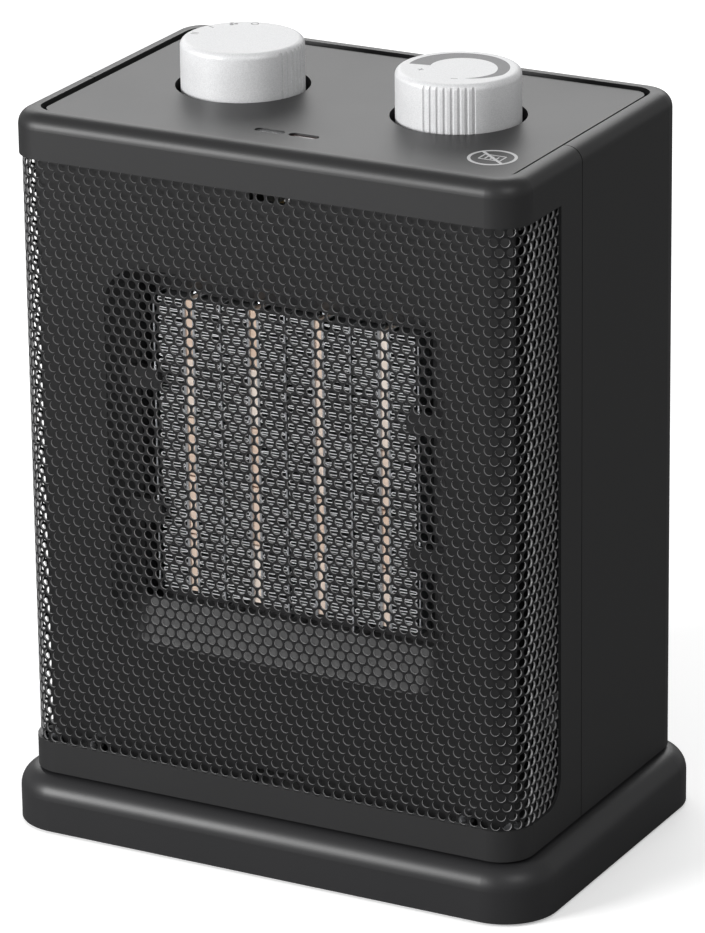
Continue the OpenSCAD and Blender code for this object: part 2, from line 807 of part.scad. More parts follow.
// Sleeve round the heating block, and the ring that the impeller runs in
module air_duct() {
    color("#3a3a3c") difference() {
        union() {
            span([-duct_x - 5, ptc_y0, ptc_z - frame_h / 2 - duct_wall - 4],
                 [duct_x + 5, ptc_y0 + duct_wall, ptc_z + frame_h / 2 + duct_wall + 4]);
            span([-frame_w / 2 - duct_wall, ptc_y0, ptc_z - frame_h / 2 - duct_wall],
                 [frame_w / 2 + duct_wall, ring_y0, ptc_z + frame_h / 2 + duct_wall]);
            span([-ring_r - duct_wall, ring_y0 - duct_wall, ptc_z - ring_r - duct_wall],
                 [ring_r + duct_wall, ring_y0, ptc_z + ring_r + duct_wall]);
            rod_y(ring_r + duct_wall, ring_y0 - duct_wall, ring_y1, 0, ptc_z);
            for (x = [-1, 1], z = [-1, 1]) rod_y(boss_r, ring_y0 - duct_wall, ring_y1, x * post_x, ptc_z + z * post_x);
        }
        span([-frame_w / 2, ptc_y0 - 1, ptc_z - frame_h / 2], [frame_w / 2, ring_y0 - duct_wall, ptc_z + frame_h / 2]);
        rod_y(ring_r, ring_y0 - duct_wall - 1, ring_y1 + 1, 0, ptc_z);
        for (x = [-1, 1], z = [-1, 1]) {
            rod_y(screw_r, ptc_y0 - 1, ptc_y0 + duct_wall + 1, x * duct_x, ptc_z + z * duct_z);
            rod_y(screw_r, ring_y1 - 8, ring_y1 + 1, x * post_x, ptc_z + z * post_x);
        }
        tab_slots();
    }
}

module duct_screws() {
    color("silver") for (x = [-1, 1], z = [-1, 1])
        translate([x * duct_x, ptc_y0 + duct_wall, ptc_z + z * duct_z]) rotate([-90, 0, 0])
            screw(duct_wall + baffle_boss);
}

// ---- heating block ----

// Middle of a heating column
function column_x(i) = -ptc_w / 2 + edge_t + column_w / 2 + i * (column_w + plate_t);

module ptc_frame() {
    color("#2a2a2c") difference() {
        span([-frame_w / 2, ptc_y0 + frame_back, ptc_z - frame_h / 2],
             [frame_w / 2, ptc_y1, ptc_z + frame_h / 2]);
        span([-ptc_w / 2, ptc_y0 - 1, ptc_z - ptc_h / 2], [ptc_w / 2, ptc_y1 + 1, ptc_z + ptc_h / 2]);
        tab_slots();
    }
}

module ptc_stones() {
    step = ptc_h / stones;
    color("#e9dcc2") for (i = [0 : columns - 1], k = [0 : stones - 1])
        span([column_x(i) - stone_t / 2, ptc_y0 + 1, ptc_z - ptc_h / 2 + k * step + 0.3],
             [column_x(i) + stone_t / 2, ptc_y1 - 1, ptc_z - ptc_h / 2 + (k + 1) * step - 0.3]);
}

// Electrode strips on both sides of the stones, one of each pair with a terminal tab
module ptc_strips() {
    color("#c4c6c8") for (i = [0 : columns - 1]) {
        for (side = [-1, 1])
            span([column_x(i) + side * (stone_t + strip_t) / 2 - strip_t / 2, ptc_y0 + 0.5, ptc_z - ptc_h / 2],
                 [column_x(i) + side * (stone_t + strip_t) / 2 + strip_t / 2, ptc_y1 - 0.5, ptc_z + ptc_h / 2]);
        span([column_x(i) - stone_t / 2 - strip_t, tab_y - 3.1, ptc_z + ptc_h / 2 - 1],
             [column_x(i) - stone_t / 2, tab_y + 3.1, ptc_z + frame_h / 2 + duct_wall + tab_h]);
    }
}

// Plates between the columns, each with a tail below the block, and a plate along both edges
module ptc_plates() {
    low = ptc_z - ptc_h / 2;
    high = ptc_z + ptc_h / 2;
    color("#bfc1c3") {
        for (i = [0 : columns - 2]) {
            plate_x = column_x(i) + column_w / 2;
            span([plate_x, ptc_y0, low], [plate_x + plate_t, ptc_y1, high]);
            span([plate_x, ptc_y0, low - plate_tail], [plate_x + plate_t, ptc_y0 + plate_tail_d, low + 1]);
        }
        for (side = [-1, 1])
            span([side * (ptc_w - edge_t) / 2 - edge_t / 2, ptc_y0, low],
                 [side * (ptc_w - edge_t) / 2 + edge_t / 2, ptc_y1, high]);
    }
}

// One strip of foil folded to and fro between two strips
module fin_pack() {
    step = fin_pitch / 2;
    notch = fin_w * foil_t / fin_pitch;
    right = [for (k = [1 : 2 : 2 * waves - 1])
        each [[fin_w, k * step], [fin_w, k * step + foil_t], [notch, (k + 1) * step + foil_t / 2]]];
    left = [for (k = [2 * waves : -2 : 2])
        each [[0, k * step + foil_t], [0, k * step], [fin_w - notch, (k - 1) * step + foil_t / 2]]];
    outline = concat([[0, 0]], [for (i = [0 : len(right) - 2]) right[i]], left, [[0, foil_t]]);
    rotate([90, 0, 0]) linear_extrude(ptc_d - 1) polygon(outline);
}

module ptc_fins() {
    start = ptc_z - (waves * fin_pitch + foil_t) / 2;
    color("#d2d4d6") for (i = [0 : columns - 1], side = [-1, 1])
        translate([column_x(i) + side * (stone_t / 2 + strip_t + fin_w / 2) - fin_w / 2, ptc_y1 - 0.5, start])
            fin_pack();
}

// Snap-action thermostat that cuts the heater off when the air path is blocked
module thermal_cutout() {
    translate([0, safety_y, ptc_z + frame_h / 2 + duct_wall]) {
        color("#b9b9ba") span([-11.5, -3.5, 0], [11.5, 3.5, 0.8]);
        color("#b9b9ba") cylinder(r = cutout_r, h = 3);
        color("#26262a") translate([0, 0, 3]) cylinder(r = cutout_r - 0.9, h = 5);
        color("#c9b26a") for (x = [-1, 1]) span([x * 4 - 0.4, -3, 8], [x * 4 + 0.4, 3, 14]);
    }
}

// One-shot fuse in its sleeve
module thermal_fuse() {
    color("#d9c9a0") translate([-40, safety_y, ptc_z + frame_h / 2 + duct_wall + 2])
        rotate([0, 90, 0]) cylinder(r = 2, h = 14);
}

// ---- fan ----

module impeller() {
    color("#d9d9d6") difference() {
        union() {
            rod_y(hub_r, fan_y0 + 2, fan_y1, 0, ptc_z);
            intersection() {
                rod_y(fan_d / 2, fan_y0, fan_y1, 0, ptc_z);
                for (i = [0 : blades - 1])
                    translate([0, (fan_y0 + fan_y1) / 2, ptc_z]) rotate([0, 360 / blades * i, 0])
                        rotate([blade_turn, 0, 0]) linear_extrude(blade_t, center = true)
                            polygon([[hub_r - 3, -6], [fan_d / 2 + 2, -tip_chord / 2],
                                     [fan_d / 2 + 2, tip_chord / 2], [hub_r - 3, 6]]);
            }
        }
        rod_y(shaft_r, fan_y0 - 1, fan_y1 + 1, 0, ptc_z);
    }
}

module fan_shaft() {
    color("#c9c9cc") rod_y(shaft_r, fan_y0 - 2, core_y1 + bush_l + 2, 0, ptc_z);
}

module fan_rotor() {
    color("#9a9a9c") difference() {
        rod_y(rotor_r, core_y0 + 0.5, core_y1 - 0.5, 0, ptc_z);
        rod_y(shaft_r, core_y0, core_y1, 0, ptc_z);
    }
}

module impeller_clip() {
    color("#c9c9cc") difference() {
        rod_y(shaft_r + 2.5, fan_y0 + 1, fan_y0 + 2, 0, ptc_z);
        rod_y(shaft_r, fan_y0, fan_y0 + 3, 0, ptc_z);
    }
}

// Shaded-pole motor: laminated core, coil and the two bearing yokes
module fan_motor() {
    translate([0, 0, ptc_z]) {
        color("#8d8f92") difference() {
            span([-core_s / 2, core_y0, -core_s / 2 - coil_drop], [core_s / 2, core_y1, core_s / 2]);
            rod_y(rotor_r + rotor_gap, core_y0 - 1, core_y1 + 1);
            for (x = [-1, 1]) {
                span([x * core_s / 4 - core_s / 8, core_y0 - 1, -core_s / 2 - coil_drop + 8],
                     [x * core_s / 4 + core_s / 8, core_y1 + 1, -core_s / 2 + 3]);
                rod_y(screw_r, core_y0 - 1, core_y1 + 1, x * bolt_x);
            }
        }
        color("#a3522a") difference() {
            span([-core_s / 4, core_y0 - 5, -core_s / 2 - coil_drop + 8.5], [core_s / 4, core_y1 + 5, -core_s / 2 + 2.5]);
            span([-core_s / 8, core_y0, -core_s / 2 - coil_drop], [core_s / 8, core_y1, core_s / 2]);
        }
        color("#b9b9ba") for (y = [core_y0 - bush_l, core_y1]) difference() {
            span([-bolt_x - 5, y, -9], [bolt_x + 5, y + bush_l, 9]);
            rod_y(bush_r, y - 1, y + bush_l + 1);
            for (x = [-1, 1]) rod_y(screw_r, y - 1, y + bush_l + 1, x * bolt_x);
        }
    }
}

module motor_bushes() {
    color("#b08a4a") for (y = [core_y0 - bush_l, core_y1]) difference() {
        rod_y(bush_r, y, y + bush_l, 0, ptc_z);
        rod_y(shaft_r + run_fit, y - 1, y + bush_l + 1, 0, ptc_z);
    }
}

// Spider that carries the motor across the fan ring
module motor_bracket() {
    color("#b9b9ba") difference() {
        union() {
            rod_y(bolt_x + 8, bracket_y0, plate_y1, 0, ptc_z);
            for (a = [45, 135]) translate([0, bracket_y0, ptc_z]) rotate([0, a, 0])
                span([-post_x * sqrt(2), 0, -arm_w / 2], [post_x * sqrt(2), plate_y1 - bracket_y0, arm_w / 2]);
            for (x = [-1, 1], z = [-1, 1])
                rod_y(arm_w / 2 + 1, bracket_y0, plate_y1, x * post_x, ptc_z + z * post_x);
        }
        rod_y(shaft_r + 2, bracket_y0 - 1, plate_y1 + 1, 0, ptc_z);
        for (x = [-1, 1]) rod_y(screw_r, bracket_y0 - 1, plate_y1 + 1, x * bolt_x, ptc_z);
        for (x = [-1, 1], z = [-1, 1]) rod_y(screw_r, bracket_y0 - 1, plate_y1 + 1, x * post_x, ptc_z + z * post_x);
    }
}

module motor_screws() {
    color("silver") {
        for (x = [-1, 1]) translate([x * bolt_x, core_y1 + bush_l, ptc_z]) rotate([-90, 0, 0])
            screw(core_t + 2 * bush_l + plate_y1 - bracket_y0);
        for (x = [-1, 1], z = [-1, 1]) translate([x * post_x, plate_y1, ptc_z + z * post_x])
            rotate([-90, 0, 0]) screw(8);
    }
}

// ---- controls ----

module top_panel() {
    color("#2b2b2d") difference() {
        union() {
            slab(panel_w, panel_d, panel_r, panel_z0, panel_z1);
            for (x = [-1, 1]) translate([x * knob_x, knob_y, well_z0])
                cylinder(r = well_r + 1.6, h = panel_z0 - well_z0);
            for (x = [-1, 1], y = [-1, 1])
                translate([x * bracket_hole_x, knob_y + y * bracket_hole_y, bracket_z1])
                    cylinder(r = 3.5, h = panel_z0 - bracket_z1);
            for (x = [-1, 1], y = [-1, 1]) translate([x * (panel_w / 2 - ledge), y * panel_d / 4, 0]) {
                span([-0.9 - 0.9 * x, -4, ledge_z0 - 2], [0.9 - 0.9 * x, 4, panel_z0]);
                span([-1.1, -4, ledge_z0 - 2], [1.1, 4, ledge_z0]);
            }
        }
        for (x = [-1, 1]) translate([x * knob_x, knob_y, 0]) {
            translate([0, 0, well_z]) cylinder(r = well_r, h = well_depth + 1);
            translate([0, 0, well_z0 - 1]) cylinder(r = stem_r + 0.5, h = well_floor + 2);
        }
        for (x = [-1, 1]) translate([x * lens_x, lens_y, panel_z0 - 1])
            linear_extrude(panel_t + 2) slot2d(lens_l, lens_w);
        for (x = [-1, 1], y = [-1, 1])
            translate([x * bracket_hole_x, knob_y + y * bracket_hole_y, bracket_z1 - 1])
                cylinder(r = screw_r, h = 8);
    }
}

// Window over a pilot lamp, its flange under the panel
module lens(x) {
    translate([x, lens_y, panel_z0 - lens_flange]) {
        linear_extrude(lens_flange) slot2d(lens_l + 1.3, lens_w + 2.4);
        linear_extrude(lens_flange + panel_t - 0.5) slot2d(lens_l, lens_w);
    }
}

module power_lens() {
    color("#e8e8ea") lens(-lens_x);
}

module heat_lens() {
    color("#5a1c18") lens(lens_x);
}

module pilot_lamps() {
    color("#f0b070") for (x = [-1, 1])
        translate([x * lens_x - 4.5, lens_y, panel_z0 - lamp_drop + lamp_r]) rotate([0, 90, 0])
            cylinder(r = lamp_r, h = 9);
}

module lamp_holder() {
    color("#e6e6e0") {
        span([-holder_x, lens_y - 5, panel_z0 - lamp_drop - 2], [holder_x, lens_y + 5, panel_z0 - lamp_drop]);
        for (x = [-1, 1]) span([x * (holder_x - 0.8) - 0.8, lens_y - 5, panel_z0 - lamp_drop - 2],
                               [x * (holder_x - 0.8) + 0.8, lens_y + 5, panel_z0]);
    }
}

module control_bracket() {
    color("#b9b9ba") difference() {
        span([-bracket_w / 2, knob_y - bracket_d / 2, bracket_z0], [bracket_w / 2, knob_y + bracket_d / 2, bracket_z1]);
        for (x = [-1, 1]) translate([x * knob_x, knob_y, bracket_z0 - 1]) cylinder(r = bushing_r, h = 5);
        for (x = [-1, 1], y = [-1, 1])
            translate([x * bracket_hole_x, knob_y + y * bracket_hole_y, bracket_z0 - 1])
                cylinder(r = screw_r, h = 5);
    }
}

module control_screws() {
    color("silver") for (x = [-1, 1], y = [-1, 1])
        translate([x * bracket_hole_x, knob_y + y * bracket_hole_y, bracket_z0]) mirror([0, 0, 1]) screw(7);
}

// Threaded bushing of a control, with the bore that its stem turns in
module bushing(h) {
    translate([0, 0, -h]) cylinder(r = bushing_r, h = h + bracket_t + 3);
}

module rotary_switch() {
    translate([-knob_x, knob_y, bracket_z0]) {
        color("#e6e2d4") difference() {
            union() {
                span([-16, -16, -control_h], [16, 16, 0]);
                bushing(1);
            }
            translate([0, 0, -stem_in]) cylinder(r = stem_r + run_fit, h = 30);
        }
        color("#c9b26a") for (x = [-2 : 2])
            span([x * 6 - 0.4, -3, -control_h - prong_l], [x * 6 + 0.4, 3, -control_h]);
    }
}

// Room thermostat: ceramic body with a bimetal blade
module thermostat() {
    translate([knob_x, knob_y, bracket_z0]) {
        color("#efe9dc") difference() {
            union() {
                span([-9, -10, -control_h], [9, 10, 0]);
                bushing(1);
            }
            translate([0, 0, -stem_in]) cylinder(r = stem_r + run_fit, h = 30);
        }
        color("#c9b26a") for (y = [-6, 6])
            span([-0.4 + y / 3, -3, -control_h - prong_l], [0.4 + y / 3, 3, -control_h]);
        color("#b9b9ba") span([9, -5, -control_h + 2], [22, 5, -control_h + 3]);
    }
}

// Control stem with a flat near its top
module stem(x) {
    translate([x, knob_y, bracket_z0 - stem_in + 1]) difference() {
        cylinder(r = stem_r, h = stem_top - bracket_z0 + stem_in - 1);
        span([stem_r - 1, -stem_r, knob_z0 - bracket_z0 + stem_in - 1], [stem_r + 1, stem_r, 60]);
    }
}

module function_stem() {
    color("#d2d2d4") stem(-knob_x);
}

module thermostat_stem() {
    color("#d2d2d4") stem(knob_x);
}

// Hollow cap with a fluted grip centred on angle turn, and a hub that fits the stem's flat
module knob(x, turn) {
    r = knob_d / 2;
    translate([x, knob_y, 0]) difference() {
        rotate_extrude() {
            difference() {
                corner_profile(r, knob_round, knob_z0, knob_z1);
                translate([hub_out, knob_z0 - 1]) square([r - knob_wall - hub_out, knob_z1 - knob_z0 - knob_top + 1]);
            }
        }
        difference() {
            translate([0, 0, knob_z0 - 1]) cylinder(r = stem_r, h = stem_top - knob_z0 + 1);
            span([stem_r - 1, -stem_r, knob_z0 - 2], [stem_r + 1, stem_r, knob_z1]);
        }
        for (i = [0 : grip_grooves - 1])
            rotate(turn - grip_half + 2 * grip_half * i / (grip_grooves - 1))
                translate([r + groove_r / 3, 0, knob_z0 - 1]) cylinder(r = groove_r, h = knob_z1 - knob_z0 + 2, $fn = 16);
    }
}

module function_knob() {
    color("#d6d6d8") knob(-knob_x, 0);
}

module thermostat_knob() {
    color("#d6d6d8") knob(knob_x, -72);
}

// Switch for the swing motor, in the back of the body
module swing_switch() {
    color("#1b1b1c") difference() {
        union() {
            span([rocker_x - rocker_w / 2, body_d / 2 - rocker_in, rocker_z - rocker_h / 2],
                 [rocker_x + rocker_w / 2, body_d / 2, rocker_z + rocker_h / 2]);
            span([rocker_x - rocker_w / 2 - 1.2, body_d / 2, rocker_z - rocker_h / 2 - 1.2],
                 [rocker_x + rocker_w / 2 + 1.2, body_d / 2 + 1.2, rocker_z + rocker_h / 2 + 1.2]);
        }
        span([rocker_x - rocker_w / 2 + 1.4, body_d / 2 - rocker_in + 3, rocker_z - rocker_h / 2 + 1.4],
             [rocker_x + rocker_w / 2 - 1.4, body_d / 2 + 2, rocker_z + rocker_h / 2 - 1.4]);
        translate([rocker_x - rocker_w / 2 + 0.4, rocker_y, rocker_z]) rotate([0, 90, 0])
            cylinder(r = rocker_pin + run_fit, h = rocker_w - 0.8);
    }
}

// Rocker with its two pivot pins, lying with its lower half pressed in
module swing_rocker() {
    h = rocker_h / 2 - 2.4;
    color("#28282a") translate([rocker_x, rocker_y, rocker_z]) {
        translate([-rocker_w / 2 + 0.6, 0, 0]) rotate([0, 90, 0]) cylinder(r = rocker_pin, h = rocker_w - 1.2);
        rotate([-rocker_tilt, 0, 0]) rotate([90, 0, 90]) translate([0, 0, -rocker_w / 2 + 1.8])
            linear_extrude(rocker_w - 3.6)
                polygon([[-1.5, -h + 1], [3, -h], [rocker_mid, 0], [3, h], [-1.5, h - 1]]);
    }
}

// Junction of the mains lead with the internal leads
module terminal_block() {
    color("#e6e2d4") translate([block_x, block_y, floor_z1]) difference() {
        span([-16, -block_d / 2, 0], [16, block_d / 2, 13]);
        for (x = [-10, 0, 10]) translate([x, 0, 5]) cylinder(r = 2.6, h = 9);
    }
}

// Leads from the terminal block up to the rotary switch
module lead_wires() {
    rise = bracket_z0 - control_h;
    for (i = [0 : 2]) {
        y = block_y + 14 + 4 * i;
        x0 = block_x + 10 * (i - 1);
        x1 = -knob_x + 6 * (i - 1);
        color("#8a2f24") wire([
            [x0, block_y + block_d / 2, floor_z1 + 6], [x0, y - 1, floor_z1 + 6], [x0 - 1, y, floor_z1 + 10],
            [-lead_x, y, floor_z1 + 36], [-lead_x, y, rise - 14], [-lead_x + 4, y, rise - lead_drop],
            [x1, knob_y + 3, rise - lead_drop], [x1, knob_y, rise - lead_drop + 1], [x1, knob_y, rise - prong_l]
        ], lead_r);
    }
}

base_shell();
base_plate();
rubber_feet();
base_screws();
crank_guide();
tip_switch();
tip_plunger();
cord_gland();
cord_clamp();
swivel_washer();
body_floor();
turret_ring();
turret_screws();
floor_screws();
swing_motor();
swing_screws();
swing_shaft();
crank();
crank_pin();
front_shell();
grille();
rear_shell();
shell_screws();
baffle();
baffle_screws();
air_duct();
duct_screws();
ptc_frame();
ptc_stones();
ptc_strips();
ptc_plates();
ptc_fins();
thermal_cutout();
thermal_fuse();
impeller();
fan_shaft();
fan_rotor();
impeller_clip();
fan_motor();
motor_bushes();
motor_bracket();
motor_screws();
top_panel();
power_lens();
heat_lens();
pilot_lamps();
lamp_holder();
control_bracket();
control_screws();
rotary_switch();
function_stem();
function_knob();
thermostat();
thermostat_stem();
thermostat_knob();
swing_switch();
swing_rocker();
terminal_block();
lead_wires();
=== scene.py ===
# %% [markdown]
# # A ceramic space heater on a swivelling base
# The heater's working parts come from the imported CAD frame: shells, base, duct, fan, motor, switch
# and knobs. This notebook gives each of them its finish, and works out with numpy the fine sheet-metal
# pieces that CAD leaves plain: the perforated front, the folded fins and the plates between them.
# Everything is in metres, in the frame's own axes: +Z is up and the front faces -Y.

# %% Load the frame and measure it
import bpy
import numpy as np
from math import cos, pi, radians, sin
from mathutils import Matrix, Vector


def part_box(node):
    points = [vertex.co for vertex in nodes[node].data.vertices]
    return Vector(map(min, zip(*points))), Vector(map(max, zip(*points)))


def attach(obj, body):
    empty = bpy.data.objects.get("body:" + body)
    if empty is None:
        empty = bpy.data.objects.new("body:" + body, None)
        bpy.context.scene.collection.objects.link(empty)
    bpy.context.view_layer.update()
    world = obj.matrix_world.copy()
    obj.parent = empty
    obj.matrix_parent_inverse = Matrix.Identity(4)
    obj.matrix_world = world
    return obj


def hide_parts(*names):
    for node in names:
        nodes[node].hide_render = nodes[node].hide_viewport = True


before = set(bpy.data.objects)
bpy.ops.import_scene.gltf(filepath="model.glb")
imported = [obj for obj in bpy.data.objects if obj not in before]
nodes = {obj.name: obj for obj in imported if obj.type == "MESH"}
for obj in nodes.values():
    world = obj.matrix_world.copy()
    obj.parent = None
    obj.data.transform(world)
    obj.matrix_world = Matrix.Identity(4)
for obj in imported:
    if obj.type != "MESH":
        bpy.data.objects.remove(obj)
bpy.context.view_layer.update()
MM = 0.001

# %% [markdown]
# ## Camera
# The view is a long lens from the front right, a little above the heater. The camera's axes are
# worked out from three angles, its turn round the object, its dip and its roll, because a matrix
# made from them is exact and needs no aiming constraint.

# %% Camera
CAMERA_PLACE = (0.83817, -1.5453, 0.76622)
CAMERA_TURN = radians(28.115)
CAMERA_DIP = radians(20.579)
CAMERA_ROLL = radians(-0.599)


def camera_axes(turn, dip, roll):
    """Right, up and back of the camera: back leans by dip and turn, and the roll turns the other two."""
    back = Vector((sin(turn) * cos(dip), -cos(turn) * cos(dip), sin(dip)))
    level = Vector((cos(turn), sin(turn), 0))
    rise = back.cross(level)
    right = cos(roll) * level + sin(roll) * rise
    up = cos(roll) * rise - sin(roll) * level
    return right, up, back


lens = bpy.data.cameras.new("studio_camera")
lens.lens = 226.45
lens.sensor_width = 36
lens.shift_x = -0.0355
lens.shift_y = 0.0383
lens.clip_end = 20
camera = bpy.data.objects.new("studio_camera", lens)
bpy.context.collection.objects.link(camera)
right, up, back = camera_axes(CAMERA_TURN, CAMERA_DIP, CAMERA_ROLL)
camera.matrix_world = Matrix.Translation(CAMERA_PLACE) @ Matrix((right, up, back)).transposed().to_4x4()
bpy.context.scene.camera = camera
print("Camera at", CAMERA_PLACE)

# %% [markdown]
# ## Helpers for node trees
# Every finish is a small tree of nodes. A few helpers keep the trees short: they add a node and
# set its inputs, do sums between sockets or numbers, make a bump, and start a material.

# %% Node helpers


def add(tree, kind, settings=None, **inputs):
    """Adds a node of that kind, sets its own settings, and links or sets each input by name."""
    node = tree.nodes.new("ShaderNode" + kind)
    for key, value in (settings or {}).items():
        setattr(node, key, value)
    for key, value in inputs.items():
        join(tree, value, node.inputs[key.replace("_", " ")])
    return node


def join(tree, value, socket):
    """Links value to the socket when it is a socket itself, and else sets it as the default."""
    if isinstance(value, bpy.types.NodeSocket):
        tree.links.new(value, socket)
    else:
        socket.default_value = value


def sum_of(tree, operation, first, second=0.0, clamp=False):
    """Result of one Math node on two sockets or numbers."""
    node = tree.nodes.new("ShaderNodeMath")
    node.operation = operation
    node.use_clamp = clamp
    join(tree, first, node.inputs[0])
    join(tree, second, node.inputs[1])
    return node.outputs[0]


def plus(tree, first, second, clamp=False):
    """Sum of two sockets or numbers."""
    return sum_of(tree, "ADD", first, second, clamp)


def minus(tree, first, second):
    """First less second."""
    return sum_of(tree, "SUBTRACT", first, second)


def times(tree, first, second, clamp=False):
    """Product of two sockets or numbers."""
    return sum_of(tree, "MULTIPLY", first, second, clamp)


def bumped(tree, shader, strength, depth, height):
    """Feeds the shader's normal from a Bump node of that strength and depth in metres."""
    bump = add(tree, "Bump", Strength=strength, Distance=depth, Height=height)
    join(tree, bump.outputs[0], shader.inputs["Normal"])


def shade(colour, factor):
    """Colour times a factor, no channel above 1, with an alpha of 1."""
    return tuple(min(c * factor, 1) for c in colour) + (1,)


def mixed(tree, share, first, second):
    """Colour between first and second, by share from 0 to 1."""
    node = add(tree, "Mix", {"data_type": "RGBA"})
    join(tree, share, node.inputs[0])
    join(tree, first, node.inputs[6])
    join(tree, second, node.inputs[7])
    return node.outputs[2]


def start_material(name):
    """A material with its Principled shader, its tree and its Object coordinates."""
    material = bpy.data.materials.new(name)
    material.use_nodes = True
    tree = material.node_tree
    shader = tree.nodes["Principled BSDF"]
    place = add(tree, "TexCoord").outputs["Object"]
    return material, tree, shader, place


def start_group(name, inputs, outputs):
    """A node group with named inputs, given as (name, kind, value), and named outputs."""
    group = bpy.data.node_groups.new(name, "ShaderNodeTree")
    for label, kind, value in inputs:
        socket = group.interface.new_socket(label, in_out="INPUT", socket_type=kind)
        if value is not None:
            socket.default_value = value
    for label, kind in outputs:
        group.interface.new_socket(label, in_out="OUTPUT", socket_type=kind)
    entry = group.nodes.new("NodeGroupInput")
    leave = group.nodes.new("NodeGroupOutput")
    return group, entry.outputs, leave.inputs


def use_group(tree, group, **inputs):
    """Places a group in a material's tree with this material's own values."""
    node = tree.nodes.new("ShaderNodeGroup")
    node.node_tree = group
    for key, value in inputs.items():
        join(tree, value, node.inputs[key.replace("_", " ")])
    return node.outputs


# %% [markdown]
# ## Shared effects
# Three effects come back in many finishes, so each is a node group. Moulded grain is the fine
# spark-eroded texture of a plastic housing: two noises of different size give its height, and a
# slow noise makes the gloss drift a little. Drawn streaks are the long thin marks that rolling
# leaves on sheet metal, made by a noise that is squeezed across the rolling direction. A box mask
# is 1 inside a box and 0 outside, and paints the separate materials of a bought-in component.

# %% Group: moulded grain


def make_grain():
    """Height is fine noise plus a finer share of itself; Tone is a slow noise between 0 and 1."""
    group, given, out = start_group(
        "moulded_grain",
        [("Place", "NodeSocketVector", None), ("Grain", "NodeSocketFloat", 2200.0),
         ("Drift", "NodeSocketFloat", 14.0)],
        [("Height", "NodeSocketFloat"), ("Tone", "NodeSocketFloat"), ("Speck", "NodeSocketFloat")])
    tree = group
    coarse = add(tree, "TexNoise", Vector=given["Place"], Scale=given["Grain"], Detail=2.0, Roughness=0.6)
    pits = add(tree, "TexVoronoi", {"feature": "F1"}, Vector=given["Place"], Scale=given["Grain"])
    slow = add(tree, "TexNoise", Vector=given["Place"], Scale=given["Drift"], Detail=3.0)
    height = plus(tree, coarse.outputs[0], times(tree, pits.outputs[0], 0.5))
    tree.links.new(height, out["Height"])
    tree.links.new(slow.outputs[0], out["Tone"])
    tree.links.new(coarse.outputs[0], out["Speck"])
    return group


grain = make_grain()
print("Group:", grain.name)

# %% Group: drawn streaks


def make_streaks():
    """Streak is a noise stretched along one axis by the Squeeze vector, with a slow cloud beside it."""
    group, given, out = start_group(
        "drawn_streaks",
        [("Place", "NodeSocketVector", None), ("Squeeze", "NodeSocketVector", (1.0, 1.0, 1.0))],
        [("Streak", "NodeSocketFloat"), ("Cloud", "NodeSocketFloat")])
    stretched = add(group, "VectorMath", {"operation": "MULTIPLY"})
    join(group, given["Place"], stretched.inputs[0])
    join(group, given["Squeeze"], stretched.inputs[1])
    lines = add(group, "TexNoise", Vector=stretched.outputs[0], Scale=1.0, Detail=4.0, Roughness=0.65)
    cloud = add(group, "TexNoise", Vector=given["Place"], Scale=60.0, Detail=3.0)
    group.links.new(lines.outputs[0], out["Streak"])
    group.links.new(cloud.outputs[0], out["Cloud"])
    return group


streaks = make_streaks()
print("Group:", streaks.name)

# %% Group: box mask


def make_box_mask():
    """Mask is 1 where the place is less than Half away from Middle along all three axes."""
    group, given, out = start_group(
        "box_mask",
        [("Place", "NodeSocketVector", None), ("Middle", "NodeSocketVector", (0.0, 0.0, 0.0)),
         ("Half", "NodeSocketVector", (1.0, 1.0, 1.0))],
        [("Mask", "NodeSocketFloat")])
    away = add(group, "VectorMath", {"operation": "SUBTRACT"})
    join(group, given["Place"], away.inputs[0])
    join(group, given["Middle"], away.inputs[1])
    size = add(group, "VectorMath", {"operation": "ABSOLUTE"})
    join(group, away.outputs[0], size.inputs[0])
    room = add(group, "VectorMath", {"operation": "SUBTRACT"})
    join(group, given["Half"], room.inputs[0])
    join(group, size.outputs[0], room.inputs[1])
    split = add(group, "SeparateXYZ", Vector=room.outputs[0])
    least = sum_of(group, "MINIMUM", split.outputs[1], split.outputs[2])
    least = sum_of(group, "MINIMUM", split.outputs[0], least)
    group.links.new(sum_of(group, "GREATER_THAN", least, 0.0), out["Mask"])
    return group


box_mask = make_box_mask()
print("Group:", box_mask.name)

# %% [markdown]
# ## Plastics and rubber
# The housing is charcoal ABS with a fine matt texture, and its gloss comes from roughness that
# wanders a little with the grain. The same recipe with other values makes the base, the inner
# baffle, the pale nylon parts, the black switch and the rubber feet.

# %% Moulded plastic


def moulded(name, colour, roughness, grain_size, depth, gloss=0.4, spread=0.08):
    """Principled plastic: colour and roughness vary by grain and drift, and the grain is also a bump."""
    material, tree, shader, place = start_material(name)
    effect = use_group(tree, grain, Place=place, Grain=1 / grain_size)
    colours = mixed(tree, effect["Speck"], shade(colour, 0.88), shade(colour, 1.14))
    join(tree, colours, shader.inputs["Base Color"])
    gloss_shift = times(tree, minus(tree, effect["Tone"], 0.5), spread)
    join(tree, plus(tree, gloss_shift, roughness), shader.inputs["Roughness"])
    bumped(tree, shader, 0.6, depth, effect["Height"])
    shader.inputs["Specular IOR Level"].default_value = gloss
    return material


